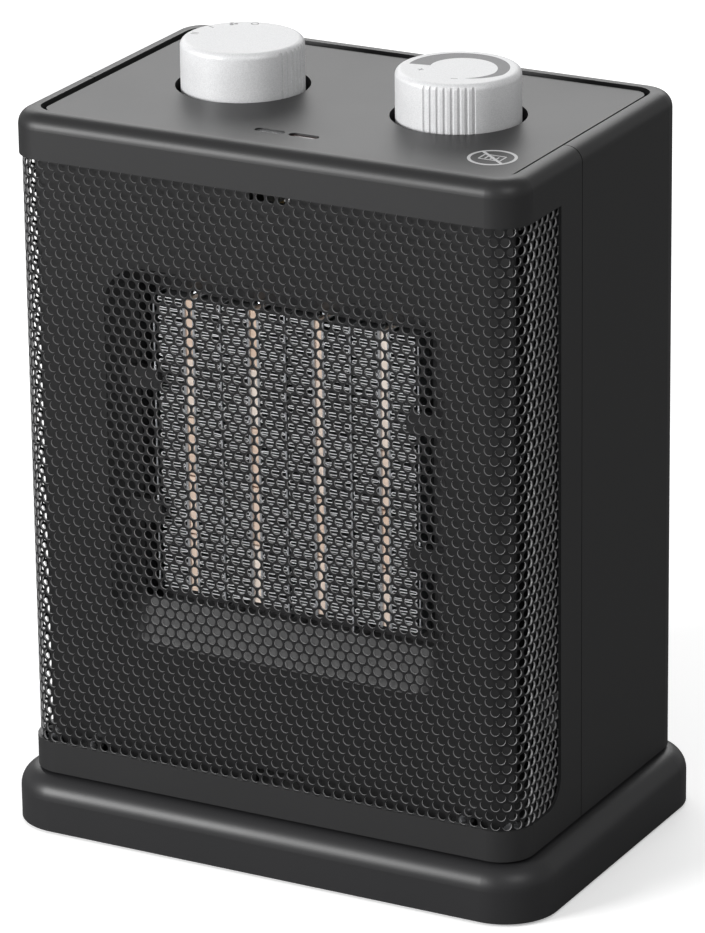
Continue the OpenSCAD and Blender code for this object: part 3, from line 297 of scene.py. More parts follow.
finishes = {
    "body_abs": moulded("body_abs", (0.016, 0.016, 0.0165), 0.42, 0.35 * MM, 0.02 * MM, 0.36),
    "base_abs": moulded("base_abs", (0.0165, 0.0165, 0.0175), 0.4, 0.4 * MM, 0.016 * MM, 0.38),
    "inner_plastic": moulded("inner_plastic", (0.014, 0.014, 0.0145), 0.42, 0.6 * MM, 0.02 * MM, 0.45),
    "light_plastic": moulded("light_plastic", (0.72, 0.72, 0.68), 0.45, 0.8 * MM, 0.02 * MM),
    "black_plastic": moulded("black_plastic", (0.012, 0.012, 0.013), 0.3, 0.5 * MM, 0.01 * MM, 0.5),
    "rubber": moulded("rubber", (0.011, 0.011, 0.011), 0.75, 0.5 * MM, 0.03 * MM, 0.25),
    "wire_pvc": moulded("wire_pvc", (0.3, 0.035, 0.02), 0.38, 1.2 * MM, 0.01 * MM, 0.5),
    "grille_paint": moulded("grille_paint", (0.006, 0.006, 0.0065), 0.3, 0.5 * MM, 0.012 * MM, 0.5),
}
print("Plastics:", ", ".join(finishes))

# %% [markdown]
# ## Metals
# Screws, brackets, foil and bushes are all metal sheet or bar. They share one recipe with streaks
# along the rolling direction, and differ in colour, roughness and the direction of the streaks.

# %% Sheet metal


def sheet_metal(name, colour, roughness, squeeze, depth=0.004 * MM):
    """Metallic shader: streaks shift its roughness and tone, and a thin bump follows them."""
    material, tree, shader, place = start_material(name)
    effect = use_group(tree, streaks, Place=place, Squeeze=squeeze)
    blend = times(tree, plus(tree, effect["Streak"], effect["Cloud"]), 0.5)
    join(tree, mixed(tree, blend, shade(colour, 0.8), shade(colour, 1.1)), shader.inputs["Base Color"])
    wander = times(tree, minus(tree, effect["Streak"], 0.5), 0.25)
    join(tree, plus(tree, wander, roughness), shader.inputs["Roughness"])
    bumped(tree, shader, 0.5, depth, effect["Streak"])
    shader.inputs["Metallic"].default_value = 1.0
    return material


finishes["zinc_steel"] = sheet_metal("zinc_steel", (0.62, 0.63, 0.66), 0.34, (900, 120, 900))
finishes["heater_aluminium"] = sheet_metal("heater_aluminium", (0.86, 0.88, 0.92), 0.3, (1500, 90, 700))
finishes["bronze"] = sheet_metal("bronze", (0.55, 0.36, 0.16), 0.4, (700, 90, 700))
print("Metals: zinc_steel, heater_aluminium, bronze")

# %% [markdown]
# ## Fan motor
# A shaded-pole motor is a stack of thin steel sheets with a copper coil round its lower leg and
# zinc-plated yokes in front and behind. The whole motor is one CAD node, so the places of its parts
# come from the node's own box: bands along Y are the sheets, and box masks pick out coil and yokes.

# %% Motor finish


YOKE_DEPTH = 6 * MM
COIL_HALF_WIDTH = 14.3 * MM
COIL_MIDDLE, COIL_TOP = 12 * MM, 19.5 * MM
SHEETS_PER_METRE = 2000.0


def motor_finish():
    """Steel bands along Y, copper in the coil's box, and zinc in front of and behind the core."""
    material, tree, shader, place = start_material("lamination")
    low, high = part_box("fan_motor")
    front, rear = low.y + YOKE_DEPTH, high.y - YOKE_DEPTH
    split = add(tree, "SeparateXYZ", Vector=place)
    band = sum_of(tree, "FRACT", times(tree, split.outputs[1], SHEETS_PER_METRE))
    steel = mixed(tree, band, (0.2, 0.2, 0.21, 1), (0.36, 0.36, 0.38, 1))
    coil = use_group(tree, box_mask, Place=place, Middle=(0, (low.y + high.y) / 2, low.z + COIL_MIDDLE),
                     Half=(COIL_HALF_WIDTH, 0.1, COIL_TOP - COIL_MIDDLE))["Mask"]
    turns = add(tree, "TexWave", {"bands_direction": "X"}, Vector=place, Scale=380.0, Distortion=1.5,
                Detail=1.0)
    copper = mixed(tree, turns.outputs[1], (0.22, 0.07, 0.025, 1), (0.62, 0.26, 0.1, 1))
    core = use_group(tree, box_mask, Place=place, Middle=(0, (front + rear) / 2, 0),
                     Half=(1, (rear - front) / 2 + 0.1 * MM, 1))["Mask"]
    outside = mixed(tree, core, (0.6, 0.61, 0.64, 1), steel)
    join(tree, mixed(tree, coil, outside, copper), shader.inputs["Base Color"])
    join(tree, plus(tree, times(tree, band, 0.12), 0.36), shader.inputs["Roughness"])
    bumped(tree, shader, 0.5, 0.05 * MM, plus(tree, band, turns.outputs[1]))
    shader.inputs["Metallic"].default_value = 0.8
    return material


finishes["lamination"] = motor_finish()
print("Motor finish made")

# %% [markdown]
# ## Ceramic
# The heating stones are barium titanate, a warm tan ceramic. They come from different firings, so
# each stone has its own tint: the stone's number, found by flooring its height, drives white noise.
# Some stones carry more of the white silver paste of their electrodes.

# %% Heating stones
stones_low, stones_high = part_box("ptc_stones")
STONE_ROWS = 5
STONE_COLUMN = 23.5 * MM


def ceramic_finish(name, tan, cream):
    """Tan to cream by a random number per stone and a fine speckle, rough as unglazed ceramic."""
    material, tree, shader, place = start_material(name)
    step = (stones_high.z - stones_low.z) / STONE_ROWS
    split = add(tree, "SeparateXYZ", Vector=place)
    level = minus(tree, split.outputs[2], stones_low.z)
    row = sum_of(tree, "FLOOR", sum_of(tree, "DIVIDE", level, step))
    column = sum_of(tree, "FLOOR", sum_of(tree, "DIVIDE", split.outputs[0], STONE_COLUMN))
    number = add(tree, "CombineXYZ", X=row, Y=column, Z=3.0)
    tint = add(tree, "TexWhiteNoise", Vector=number.outputs[0]).outputs[0]
    effect = use_group(tree, grain, Place=place, Grain=900.0, Drift=120.0)
    share = plus(tree, times(tree, tint, 0.6), times(tree, effect["Tone"], 0.5), True)
    join(tree, mixed(tree, share, tan + (1,), cream + (1,)), shader.inputs["Base Color"])
    join(tree, plus(tree, times(tree, effect["Speck"], 0.2), 0.5), shader.inputs["Roughness"])
    bumped(tree, shader, 0.5, 0.03 * MM, effect["Height"])
    return material


finishes["ptc_ceramic"] = ceramic_finish("ptc_ceramic", (0.72, 0.47, 0.32), (0.9, 0.83, 0.76))
print("Ceramic for", STONE_ROWS, "stones in a column")

# %% [markdown]
# ## Pilot windows and lamps
# Under the two small windows sit neon lamps. The left window is clear and the right one is smoked
# red. Both are moulded acrylic, so they are a plain transmitting shader with a slightly rough face.

# %% Lenses and lamp glass


def window_glass(name, colour, roughness, share):
    """Acrylic that lets light through, with a slow ripple on its face."""
    material, tree, shader, place = start_material(name)
    effect = use_group(tree, grain, Place=place, Grain=900.0)
    colours = mixed(tree, effect["Tone"], shade(colour, 0.85), shade(colour, 1))
    join(tree, colours, shader.inputs["Base Color"])
    join(tree, plus(tree, times(tree, effect["Tone"], 0.1), roughness), shader.inputs["Roughness"])
    bumped(tree, shader, 0.3, 0.02 * MM, effect["Tone"])
    shader.inputs["Transmission Weight"].default_value = share
    shader.inputs["IOR"].default_value = 1.49
    return material


finishes["clear_lens"] = window_glass("clear_lens", (0.75, 0.76, 0.78), 0.12, 0.8)
finishes["smoked_lens"] = window_glass("smoked_lens", (0.06, 0.012, 0.01), 0.08, 0.7)
finishes["neon_glass"] = window_glass("neon_glass", (0.8, 0.45, 0.25), 0.05, 0.7)
print("Window finishes made")

# %% [markdown]
# ## Knobs
# The knobs are plastic with a satin silver paint: fine flakes in a clear binder. The flakes are
# small Voronoi cells that each shift the paint's brightness and gloss. The dark print on the top is
# thinner than any mesh should be, so it is a mask in the paint, made of rings, bars and a tapered
# arc round the knob's own centre. Those centres come from the knob's box, and the radii are given.

# %% Print masks
EDGE = 25000.0


def local_place(tree, place, node):
    """X and Y from a knob's centre, and a mask that is 1 on its top face only."""
    low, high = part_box(node)
    split = add(tree, "SeparateXYZ", Vector=place)
    x = minus(tree, split.outputs[0], (low.x + high.x) / 2)
    y = minus(tree, split.outputs[1], (low.y + high.y) / 2)
    top = sum_of(tree, "GREATER_THAN", split.outputs[2], high.z - 0.3 * MM)
    return x, y, top


def inside(tree, room):
    """Mask from a distance inside an edge: 0 outside it, 1 inside, with a thin soft step."""
    return times(tree, room, EDGE, clamp=True)


def ring_ink(tree, x, y, radius, width, centre=(0, 0)):
    """Ring of a radius and a line width; with a width of twice the radius it is a full disc."""
    across = minus(tree, x, centre[0])
    along = minus(tree, y, centre[1])
    squares = plus(tree, times(tree, across, across), times(tree, along, along))
    gap = sum_of(tree, "ABSOLUTE", minus(tree, sum_of(tree, "SQRT", squares), radius))
    return inside(tree, minus(tree, width / 2, gap))


def bar_ink(tree, x, y, centre, turn, length, width):
    """Straight bar with its middle at centre, turned by an angle."""
    across = minus(tree, x, centre[0])
    along = minus(tree, y, centre[1])
    u = plus(tree, times(tree, across, cos(turn)), times(tree, along, sin(turn)))
    v = minus(tree, times(tree, along, cos(turn)), times(tree, across, sin(turn)))
    end_room = minus(tree, length / 2, sum_of(tree, "ABSOLUTE", u))
    side_room = minus(tree, width / 2, sum_of(tree, "ABSOLUTE", v))
    return inside(tree, sum_of(tree, "MINIMUM", end_room, side_room))


def on_circle(radius, degrees):
    """Point at a radius and an angle from the knob's centre."""
    return radius * cos(radians(degrees)), radius * sin(radians(degrees))


def any_of(tree, masks):
    """Greatest of several masks."""
    total = masks[0]
    for mask in masks[1:]:
        total = sum_of(tree, "MAXIMUM", total, mask)
    return total


print("Print helpers ready")

# %% Function knob's symbols
SYMBOL_RADIUS = 16 * MM


def function_ink(tree, x, y):
    """Off ring, fan, one bar and two bars, spaced round the rim beside the grip."""
    off = on_circle(SYMBOL_RADIUS, 104.6)
    masks = [ring_ink(tree, x, y, 1.1 * MM, 0.45 * MM, off)]
    fan = on_circle(SYMBOL_RADIUS, 129.6)
    for blade in (30, 150, 270):
        reach = on_circle(0.95 * MM, blade)
        masks.append(ring_ink(tree, x, y, 0.35 * MM, 0.7 * MM, (fan[0] + reach[0], fan[1] + reach[1])))
    for angle, gap in ((157, 0), (188.3, -0.7), (188.3, 0.7)):
        centre = on_circle(SYMBOL_RADIUS, angle + gap * 3.2)
        masks.append(bar_ink(tree, x, y, centre, radians(angle), 2.4 * MM, 0.5 * MM))
    return any_of(tree, masks)


# %% Thermostat knob's scale


def thermostat_ink(tree, x, y):
    """Tapered arc from a thick start to a thin end, with a plus and a minus beside its ends."""
    start, sweep = radians(190), radians(243)
    angle = sum_of(tree, "ARCTAN2", y, x)
    turned = sum_of(tree, "FLOORED_MODULO", minus(tree, start, angle), 2 * pi)
    share = sum_of(tree, "DIVIDE", turned, sweep)
    squares = plus(tree, times(tree, x, x), times(tree, y, y))
    radius = sum_of(tree, "SQRT", squares)
    late = sum_of(tree, "MAXIMUM", minus(tree, share, 0.8), 0.0)
    inner = plus(tree, times(tree, share, 4.6 * MM), 9 * MM)
    inner = minus(tree, inner, times(tree, late, 9 * MM))
    outer = minus(tree, 16 * MM, times(tree, late, 20 * MM))
    room = sum_of(tree, "MINIMUM", minus(tree, radius, inner), minus(tree, outer, radius))
    arc = times(tree, inside(tree, room), sum_of(tree, "LESS_THAN", share, 1.0))
    plus_place, minus_place = on_circle(11.8 * MM, -144), on_circle(12 * MM, -69)
    marks = [bar_ink(tree, x, y, plus_place, turn, 2.2 * MM, 0.45 * MM) for turn in (0, pi / 2)]
    marks.append(bar_ink(tree, x, y, minus_place, radians(20), 2.2 * MM, 0.45 * MM))
    return any_of(tree, [arc] + marks)


# %% Silver knob paint


def knob_paint(name, node, ink):
    """Silver flake paint: each Voronoi cell has its own tone, and the print is laid over the top face."""
    material, tree, shader, place = start_material(name)
    flakes = add(tree, "TexVoronoi", Vector=place, Scale=5200.0)
    effect = use_group(tree, grain, Place=place, Grain=3200.0, Drift=40.0)
    tone = add(tree, "RGBToBW", Color=flakes.outputs["Color"]).outputs[0]
    silver = mixed(tree, tone, (0.55, 0.552, 0.56, 1), (0.71, 0.713, 0.72, 1))
    x, y, top = local_place(tree, place, node)
    mask = times(tree, ink(tree, x, y), top)
    join(tree, mixed(tree, mask, silver, (0.12, 0.12, 0.125, 1)), shader.inputs["Base Color"])
    gloss = plus(tree, times(tree, tone, 0.14), 0.34)
    join(tree, gloss, shader.inputs["Roughness"])
    join(tree, times(tree, minus(tree, 1.0, mask), 0.1), shader.inputs["Metallic"])
    bumped(tree, shader, 0.4, 0.006 * MM, effect["Height"])
    shader.inputs["Specular IOR Level"].default_value = 0.2
    return material


knob_finishes = {
    "function_knob": knob_paint("function_knob_silver", "function_knob", function_ink),
    "thermostat_knob": knob_paint("thermostat_knob_silver", "thermostat_knob", thermostat_ink),
}
print("Knob paints:", ", ".join(knob_finishes))

# %% [markdown]
# ## Bought-in controls
# The rotary switch, the thermostat and the safety cut-out each mix a moulded or ceramic body with
# brass or steel tabs in one node. A box mask splits them by height.

# %% Switch bodies with brass tabs


def tabbed(name, body, node, low_share, high_share):
    """Body colour, and brass in a band between two shares of the node's height."""
    material, tree, shader, place = start_material(name)
    low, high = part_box(node)
    bottom = low.z + (high.z - low.z) * low_share
    top = low.z + (high.z - low.z) * high_share
    mask = use_group(tree, box_mask, Place=place, Middle=(0, 0, (bottom + top) / 2),
                     Half=(1, 1, (top - bottom) / 2))
    effect = use_group(tree, grain, Place=place, Grain=1500.0)
    moulding = mixed(tree, effect["Speck"], shade(body, 0.85), shade(body, 1))
    join(tree, mixed(tree, mask["Mask"], moulding, (0.72, 0.52, 0.22, 1)), shader.inputs["Base Color"])
    join(tree, mask["Mask"], shader.inputs["Metallic"])
    join(tree, plus(tree, times(tree, effect["Tone"], 0.1), 0.38), shader.inputs["Roughness"])
    bumped(tree, shader, 0.4, 0.01 * MM, effect["Height"])
    return material


component_finishes = {
    "rotary_switch": tabbed("rotary_switch_body", (0.78, 0.75, 0.66), "rotary_switch", -0.01, 0.257),
    "thermostat": tabbed("thermostat_body", (0.84, 0.8, 0.7), "thermostat", -0.01, 0.257),
    "thermal_cutout": tabbed("cutout_body", (0.03, 0.03, 0.032), "thermal_cutout", 0.571, 1.01),
}
print("Component finishes:", ", ".join(component_finishes))

# %% [markdown]
# ## Paint the CAD nodes
# Each node keeps its shape and gets its finish by slot name. Knobs and bought-in controls have a
# finish of their own.

# %% Assign finishes
own_finish = {**knob_finishes, **component_finishes}
for node_name, thing in nodes.items():
    for material_slot in thing.material_slots:
        record_slot = material_slot.name.split(".")[0]
        material_slot.material = own_finish.get(node_name) or finishes[record_slot]
print("Painted", len(nodes), "nodes")

# %% [markdown]
# ## Meshes from arrays
# A new piece is an array of points and some arrays of faces, each with its own number of corners.
# They go into the mesh in one step each, and edges sharper than a chosen angle stay crisp.

# %% Mesh helper


def put_in_mesh(name, points, faces, material, body, crease=35, cut_material=None):
    """Makes an object from points (n, 3) and a list of face arrays (m, corners), and rides it on a body.
    Where a cut material is given, the last face array takes it."""
    mesh = bpy.data.meshes.new(name)
    corners = np.concatenate([part.ravel() for part in faces]).astype(np.int32)
    sides = np.concatenate([np.full(len(part), part.shape[1]) for part in faces])
    starts = np.concatenate([[0], np.cumsum(sides)[:-1]]).astype(np.int32)
    mesh.vertices.add(len(points))
    mesh.vertices.foreach_set("co", np.asarray(points, np.float32).ravel())
    mesh.loops.add(len(corners))
    mesh.loops.foreach_set("vertex_index", corners)
    mesh.polygons.add(len(sides))
    mesh.polygons.foreach_set("loop_start", starts)
    mesh.polygons.foreach_set("use_smooth", np.ones(len(sides), bool))
    mesh.update(calc_edges=True)
    mesh.validate()
    mesh.set_sharp_from_angle(angle=radians(crease))
    mesh.materials.append(material)
    if cut_material:
        mesh.materials.append(cut_material)
        mesh.polygons.foreach_set("material_index", np.arange(len(sides)) >= len(sides) - len(faces[-1]))
    thing = bpy.data.objects.new(name, mesh)
    bpy.context.collection.objects.link(thing)
    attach(thing, body)
    print(name, "has", len(mesh.polygons), "faces and", len(mesh.loop_triangles), "triangles")
    return thing


def boxes(lows, highs):
    """Points and faces of several boxes: 8 corners each, counted in binary over X, Y and Z."""
    lows, highs = np.asarray(lows, float), np.asarray(highs, float)
    pick = np.array([[i & 1, i >> 1 & 1, i >> 2 & 1] for i in range(8)])
    points = lows[:, None, :] + pick[None] * (highs - lows)[:, None, :]
    one = np.array([[0, 2, 3, 1], [4, 5, 7, 6], [0, 1, 5, 4], [2, 6, 7, 3], [0, 4, 6, 2], [1, 3, 7, 5]])
    faces = one[None] + 8 * np.arange(len(lows))[:, None, None]
    return points.reshape(-1, 3), faces.reshape(-1, 4)


# %% [markdown]
# ## The perforated front
# The front is one steel sheet, punched with some four thousand round holes in staggered rows and
# bent round both front corners. Cutting holes with booleans would be slow, and a bump would not let
# the light of the room through. So the sheet is woven from its webs: each hole is a ring of twelve
# points, a small quad joins each pair of neighbours, and a hexagon fills the space between three
# rings. The flat pattern is laid out first, in a distance along the sheet and a height, and then
# rolled round the body's outline.

# %% Grille sizes
sheet_low, sheet_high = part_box("grille")
SHEET_THICK = 0.55 * MM
SHEET_BEND = 10 * MM
HOLE_RADIUS = 1.53 * MM
HOLE_PITCH = 3.7 * MM
ROW_PITCH = 3.17 * MM
HOLE_ROWS = 62
HOLE_COLUMNS = 61
HOLE_SIDES = 12
sheet_half = sheet_high.x - SHEET_BEND
sheet_reach = sheet_half + SHEET_BEND * pi / 2 + (sheet_high.y - sheet_low.y - SHEET_BEND)
print("Sheet is", round(2 * sheet_reach / MM, 1), "mm long before it is bent")

# %% Flat pattern of the holes


def hole_points():
    """Ring points of every hole, as (along, height): alternate rows are shifted by half a pitch."""
    row = np.arange(HOLE_ROWS)[:, None, None]
    column = np.arange(HOLE_COLUMNS)[None, :, None]
    angle = radians(15) + np.arange(HOLE_SIDES)[None, None, :] * 2 * pi / HOLE_SIDES
    shift = (row % 2) / 2 - 0.25
    along = (column - (HOLE_COLUMNS - 1) / 2 + shift) * HOLE_PITCH + HOLE_RADIUS * np.cos(angle)
    middle = (sheet_low.z + sheet_high.z) / 2
    height = middle + (row - (HOLE_ROWS - 1) / 2) * ROW_PITCH + HOLE_RADIUS * np.sin(angle) + 0 * column
    return np.stack([along, height], -1)


def border_points(rings):
    """Points on the sheet's four edges, straight out from the outer rings, then the four corners."""
    bottom = rings[0, :, 8:10].copy()
    bottom[..., 1] = sheet_low.z
    right_side = rings[1::2, -1][:, [11, 0]].copy()
    right_side[..., 0] = sheet_reach
    top = rings[-1, :, 2:4].copy()
    top[..., 1] = sheet_high.z
    left_side = rings[0::2, 0, 5:7].copy()
    left_side[..., 0] = -sheet_reach
    corners = np.array([[-1, sheet_low.z], [1, sheet_low.z], [1, sheet_high.z], [-1, sheet_high.z]])
    corners[:, 0] *= sheet_reach
    return [part.reshape(-1, 2) for part in (bottom, right_side, top, left_side, corners)]


rings = hole_points()
borders = border_points(rings)
flat = np.concatenate([rings.reshape(-1, 2)] + borders)
edge_start = rings.shape[0] * rings.shape[1] * HOLE_SIDES + np.cumsum([0] + [len(part) for part in borders])
print("Holes:", HOLE_ROWS * HOLE_COLUMNS)

# %% Webs between the holes


def at(row, column, point):
    """Number of one ring point."""
    return (row * HOLE_COLUMNS + column) * HOLE_SIDES + point


def stack(*numbers):
    """Faces from the numbers of their corners, given in order round each face."""
    return np.stack(np.broadcast_arrays(*numbers), -1).reshape(-1, len(numbers))


def web_faces():
    """Quads between neighbours to the right, upper right and upper left, and hexagons between three rings."""
    row, column = np.meshgrid(np.arange(HOLE_ROWS), np.arange(HOLE_COLUMNS), indexing="ij")
    upper = column + row % 2
    last = HOLE_COLUMNS - 1
    beside = column < last
    above = row < HOLE_ROWS - 1
    r, c = row[beside], column[beside]
    quads = [stack(at(r, c, 11), at(r, c + 1, 6), at(r, c + 1, 5), at(r, c, 0))]
    pick = above & (upper <= last)
    r, c, u = row[pick], column[pick], upper[pick]
    quads.append(stack(at(r, c, 1), at(r + 1, u, 8), at(r + 1, u, 7), at(r, c, 2)))
    pick = above & (upper >= 1)
    r, c, u = row[pick], column[pick], upper[pick]
    quads.append(stack(at(r, c, 3), at(r + 1, u - 1, 10), at(r + 1, u - 1, 9), at(r, c, 4)))
    pick = above & beside & (upper <= last)
    r, c, u = row[pick], column[pick], upper[pick]
    six = [stack(at(r, c, 0), at(r, c + 1, 5), at(r, c + 1, 4), at(r + 1, u, 9), at(r + 1, u, 8),
                 at(r, c, 1))]
    pick = above & (upper <= last) & (upper >= 1)
    r, c, u = row[pick], column[pick], upper[pick]
    six.append(stack(at(r, c, 2), at(r + 1, u, 7), at(r + 1, u, 6), at(r + 1, u - 1, 11),
                     at(r + 1, u - 1, 10), at(r, c, 3)))
    return np.concatenate(quads), np.concatenate(six)


web_quads, web_sixes = web_faces()
print("Webs:", len(web_quads), "quads and", len(web_sixes), "hexagons")

# %% Plain margin round the holes


def edge_at(side, number):
    """Number of a border point: side 0 to 3 is bottom, right, top and left, and 4 is the corners."""
    return edge_start[side] + number


def margin_faces():
    """Faces from the outer rings to the sheet's edges: one per hole and one per gap on each side."""
    i = np.arange(HOLE_COLUMNS)
    g, n, j = i[:-1], HOLE_COLUMNS - 1, HOLE_ROWS - 1
    e, o = np.arange(0, HOLE_ROWS, 2), np.arange(1, HOLE_ROWS, 2)
    m = np.arange(len(e))
    faces = [
        stack(at(0, i, 8), edge_at(0, 2 * i), edge_at(0, 2 * i + 1), at(0, i, 9)),
        stack(at(0, g, 11), at(0, g, 10), at(0, g, 9), edge_at(0, 2 * g + 1), edge_at(0, 2 * g + 2),
              at(0, g + 1, 8), at(0, g + 1, 7), at(0, g + 1, 6)),
        stack(at(j, i, 2), edge_at(2, 2 * i), edge_at(2, 2 * i + 1), at(j, i, 3)),
        stack(at(j, g, 0), at(j, g + 1, 5), at(j, g + 1, 4), at(j, g + 1, 3), edge_at(2, 2 * g + 3),
              edge_at(2, 2 * g), at(j, g, 2), at(j, g, 1)),
        stack(at(e, 0, 5), edge_at(3, 2 * m), edge_at(3, 2 * m + 1), at(e, 0, 6)),
        stack(at(o, n, 0), at(o, n, 11), edge_at(1, 2 * m), edge_at(1, 2 * m + 1)),
    ]
    e, o, m = e[:-1], o[:-1], m[:-1]
    faces.append(stack(
        edge_at(3, 2 * m), at(e, 0, 5), at(e, 0, 4), at(e, 0, 3), at(e, 0, 2), at(e + 1, 0, 7),
        at(e + 1, 0, 6), at(e + 1, 0, 5), at(e + 1, 0, 4), at(e + 2, 0, 9),
        at(e + 2, 0, 8), at(e + 2, 0, 7), at(e + 2, 0, 6),
        edge_at(3, 2 * m + 3)))
    faces.append(stack(
        edge_at(1, 2 * m + 1), edge_at(1, 2 * m + 2), at(o + 2, n, 11), at(o + 2, n, 10), at(o + 2, n, 9),
        at(o + 2, n, 8), at(o + 1, n, 1), at(o + 1, n, 0), at(o + 1, n, 11), at(o + 1, n, 10), at(o, n, 3),
        at(o, n, 2), at(o, n, 1), at(o, n, 0)))
    return faces


def corner_faces():
    """One face at each corner of the sheet."""
    n, j = HOLE_COLUMNS - 1, HOLE_ROWS - 1
    m = HOLE_ROWS // 2 - 1
    return [
        stack(edge_at(4, 0), edge_at(0, 0), at(0, 0, 8), at(0, 0, 7), at(0, 0, 6), edge_at(3, 1)),
        stack(edge_at(0, 2 * n + 1), edge_at(4, 1), edge_at(1, 0), at(1, n, 11), at(1, n, 10), at(1, n, 9),
              at(1, n, 8), at(0, n, 1), at(0, n, 0), at(0, n, 11), at(0, n, 10), at(0, n, 9)),
        stack(at(j, n, 0), edge_at(1, 2 * m + 1), edge_at(4, 2), edge_at(2, 2 * n), at(j, n, 2), at(j, n, 1)),
        stack(edge_at(3, 2 * m), at(j - 1, 0, 5), at(j - 1, 0, 4), at(j - 1, 0, 3), at(j - 1, 0, 2),
              at(j, 0, 7), at(j, 0, 6), at(j, 0, 5), at(j, 0, 4), at(j, 0, 3), edge_at(2, 1), edge_at(4, 3)),
    ]


face_side = [web_quads, web_sixes] + margin_faces() + corner_faces()
print("Face kinds on one side of the sheet:", len(face_side))

# %% Close the sheet and bend it


def wall_faces(count):
    """Inner wall of every hole, and the sheet's own cut edge, from the face side to the back side."""
    ring = np.arange(HOLE_ROWS * HOLE_COLUMNS)[:, None] * HOLE_SIDES
    here = np.arange(HOLE_SIDES)[None, :]
    after = (here + 1) % HOLE_SIDES
    walls = stack(ring + here, ring + after, ring + after + count, ring + here + count)
    bottom = edge_at(0, np.arange(2 * HOLE_COLUMNS))
    right_side = edge_at(1, np.arange(HOLE_ROWS))
    top = edge_at(2, np.arange(2 * HOLE_COLUMNS).reshape(-1, 2)[::-1].ravel())
    left_side = edge_at(3, np.arange(HOLE_ROWS).reshape(-1, 2)[::-1].ravel())
    loop = np.concatenate([[edge_at(4, 0)], bottom, [edge_at(4, 1)], right_side, [edge_at(4, 2)], top,
                           [edge_at(4, 3)], left_side])
    after = np.roll(loop, -1)
    return np.concatenate([walls, stack(after, loop, loop + count, after + count)])


def bend_sheet(pattern, inset):
    """Rolls (along, height) round straight front, quarter bends and straight sides; inset is depth."""
    along, height = pattern[:, 0], pattern[:, 1]
    away = np.abs(along)
    turn = np.clip((away - sheet_half) / SHEET_BEND, 0, pi / 2)
    run = np.maximum(away - sheet_half - SHEET_BEND * pi / 2, 0)
    x = np.minimum(away, sheet_half) + (SHEET_BEND - inset) * np.sin(turn)
    y = sheet_low.y + SHEET_BEND - (SHEET_BEND - inset) * np.cos(turn) + run
    return np.stack([np.sign(along) * x, y, height], -1)


# The cut walls of the holes are painted paler than the face: a painted highlight, so that they show as bright
# crescents in the lamps' light.
painted_highlight_walls = moulded("painted_highlight_walls", (0.27, 0.27, 0.273), 0.3, 0.4 * MM, 0.01 * MM, 0.5)
count = len(flat)
sheet_points = np.concatenate([bend_sheet(flat, 0), bend_sheet(flat, SHEET_THICK)])
sheet_faces = face_side + [part[:, ::-1] + count for part in face_side] + [wall_faces(count)]
perforated = put_in_mesh("perforated_front", sheet_points, sheet_faces, finishes["grille_paint"], "heater",
                         crease=40, cut_material=painted_highlight_walls)
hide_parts("grille")

# %% [markdown]
# ## Folded fins
# Between the electrode strips a thin aluminium foil is folded to and fro about every millimetre.
# Its edge view is a square wave with its corners cut off, and the foil is that wave carried straight back
# along Y. Each pack is a little uneven, as the real ones are, because its folds drift at random.

# %% Fin sizes
fins_low, fins_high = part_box("ptc_fins")
plates_low, plates_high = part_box("ptc_plates")
COLUMNS = 4
EDGE_PLATE = 1.4 * MM
PLATE_THICK = 0.8 * MM
STONE_THICK = 2.6 * MM
STRIP_THICK = 0.8 * MM
FOLD_PITCH = 2.05 * MM
FOIL_THICK = 0.26 * MM
FOLD_SHAPE = np.array([[-1, 0.24], [-0.93, 0.42], [0, 0.5], [0.93, 0.58], [1, 0.76]])
block_width = plates_high.x - plates_low.x
column_width = (block_width - 2 * EDGE_PLATE - (COLUMNS - 1) * PLATE_THICK) / COLUMNS
fin_width = (column_width - STONE_THICK - 2 * STRIP_THICK) / 2
column_step = column_width + PLATE_THICK
column_middles = plates_low.x + EDGE_PLATE + column_width / 2 + np.arange(COLUMNS) * column_step
pack_offset = STONE_THICK / 2 + STRIP_THICK + fin_width / 2
pack_middles = (column_middles[:, None] + np.array([-1, 1]) * pack_offset).ravel()
print("Fin packs:", len(pack_middles), "of width", round(fin_width / MM, 2), "mm")

# %% Foil finish
CUT_EDGE = 0.35 * MM


def foil_painted_shade_finish():
    """Pale aluminium along the cut front edge; behind it the foil is painted near black, a painted shade for
    the folds.
    """
    material, tree, shader, place = start_material("folded_foil_painted_shade")
    effect = use_group(tree, streaks, Place=place, Squeeze=(1500, 90, 700))
    depth = add(tree, "SeparateXYZ", Vector=place).outputs[1]
    room = minus(tree, fins_low.y + CUT_EDGE, depth)
    edge = times(tree, times(tree, room, 1 / CUT_EDGE, clamp=True), 2.0, clamp=True)
    # Painted shade: behind the cut front edge the foil is painted near black for the shade inside the folds,
    # and the edge keeps the pale aluminium colour.
    painted_fold_shade = mixed(tree, effect["Streak"], (0.035, 0.036, 0.038, 1), (0.085, 0.087, 0.09, 1))
    bright = mixed(tree, effect["Streak"], (0.8, 0.81, 0.84, 1), (0.95, 0.95, 0.96, 1))
    join(tree, mixed(tree, edge, painted_fold_shade, bright), shader.inputs["Base Color"])
    join(tree, plus(tree, times(tree, effect["Streak"], 0.2), 0.35), shader.inputs["Roughness"])
    bumped(tree, shader, 0.4, 0.004 * MM, effect["Streak"])
    shader.inputs["Metallic"].default_value = 0.35
    return material


foil_painted_shade_look = foil_painted_shade_finish()
print("Foil finish made")

# %% Fins


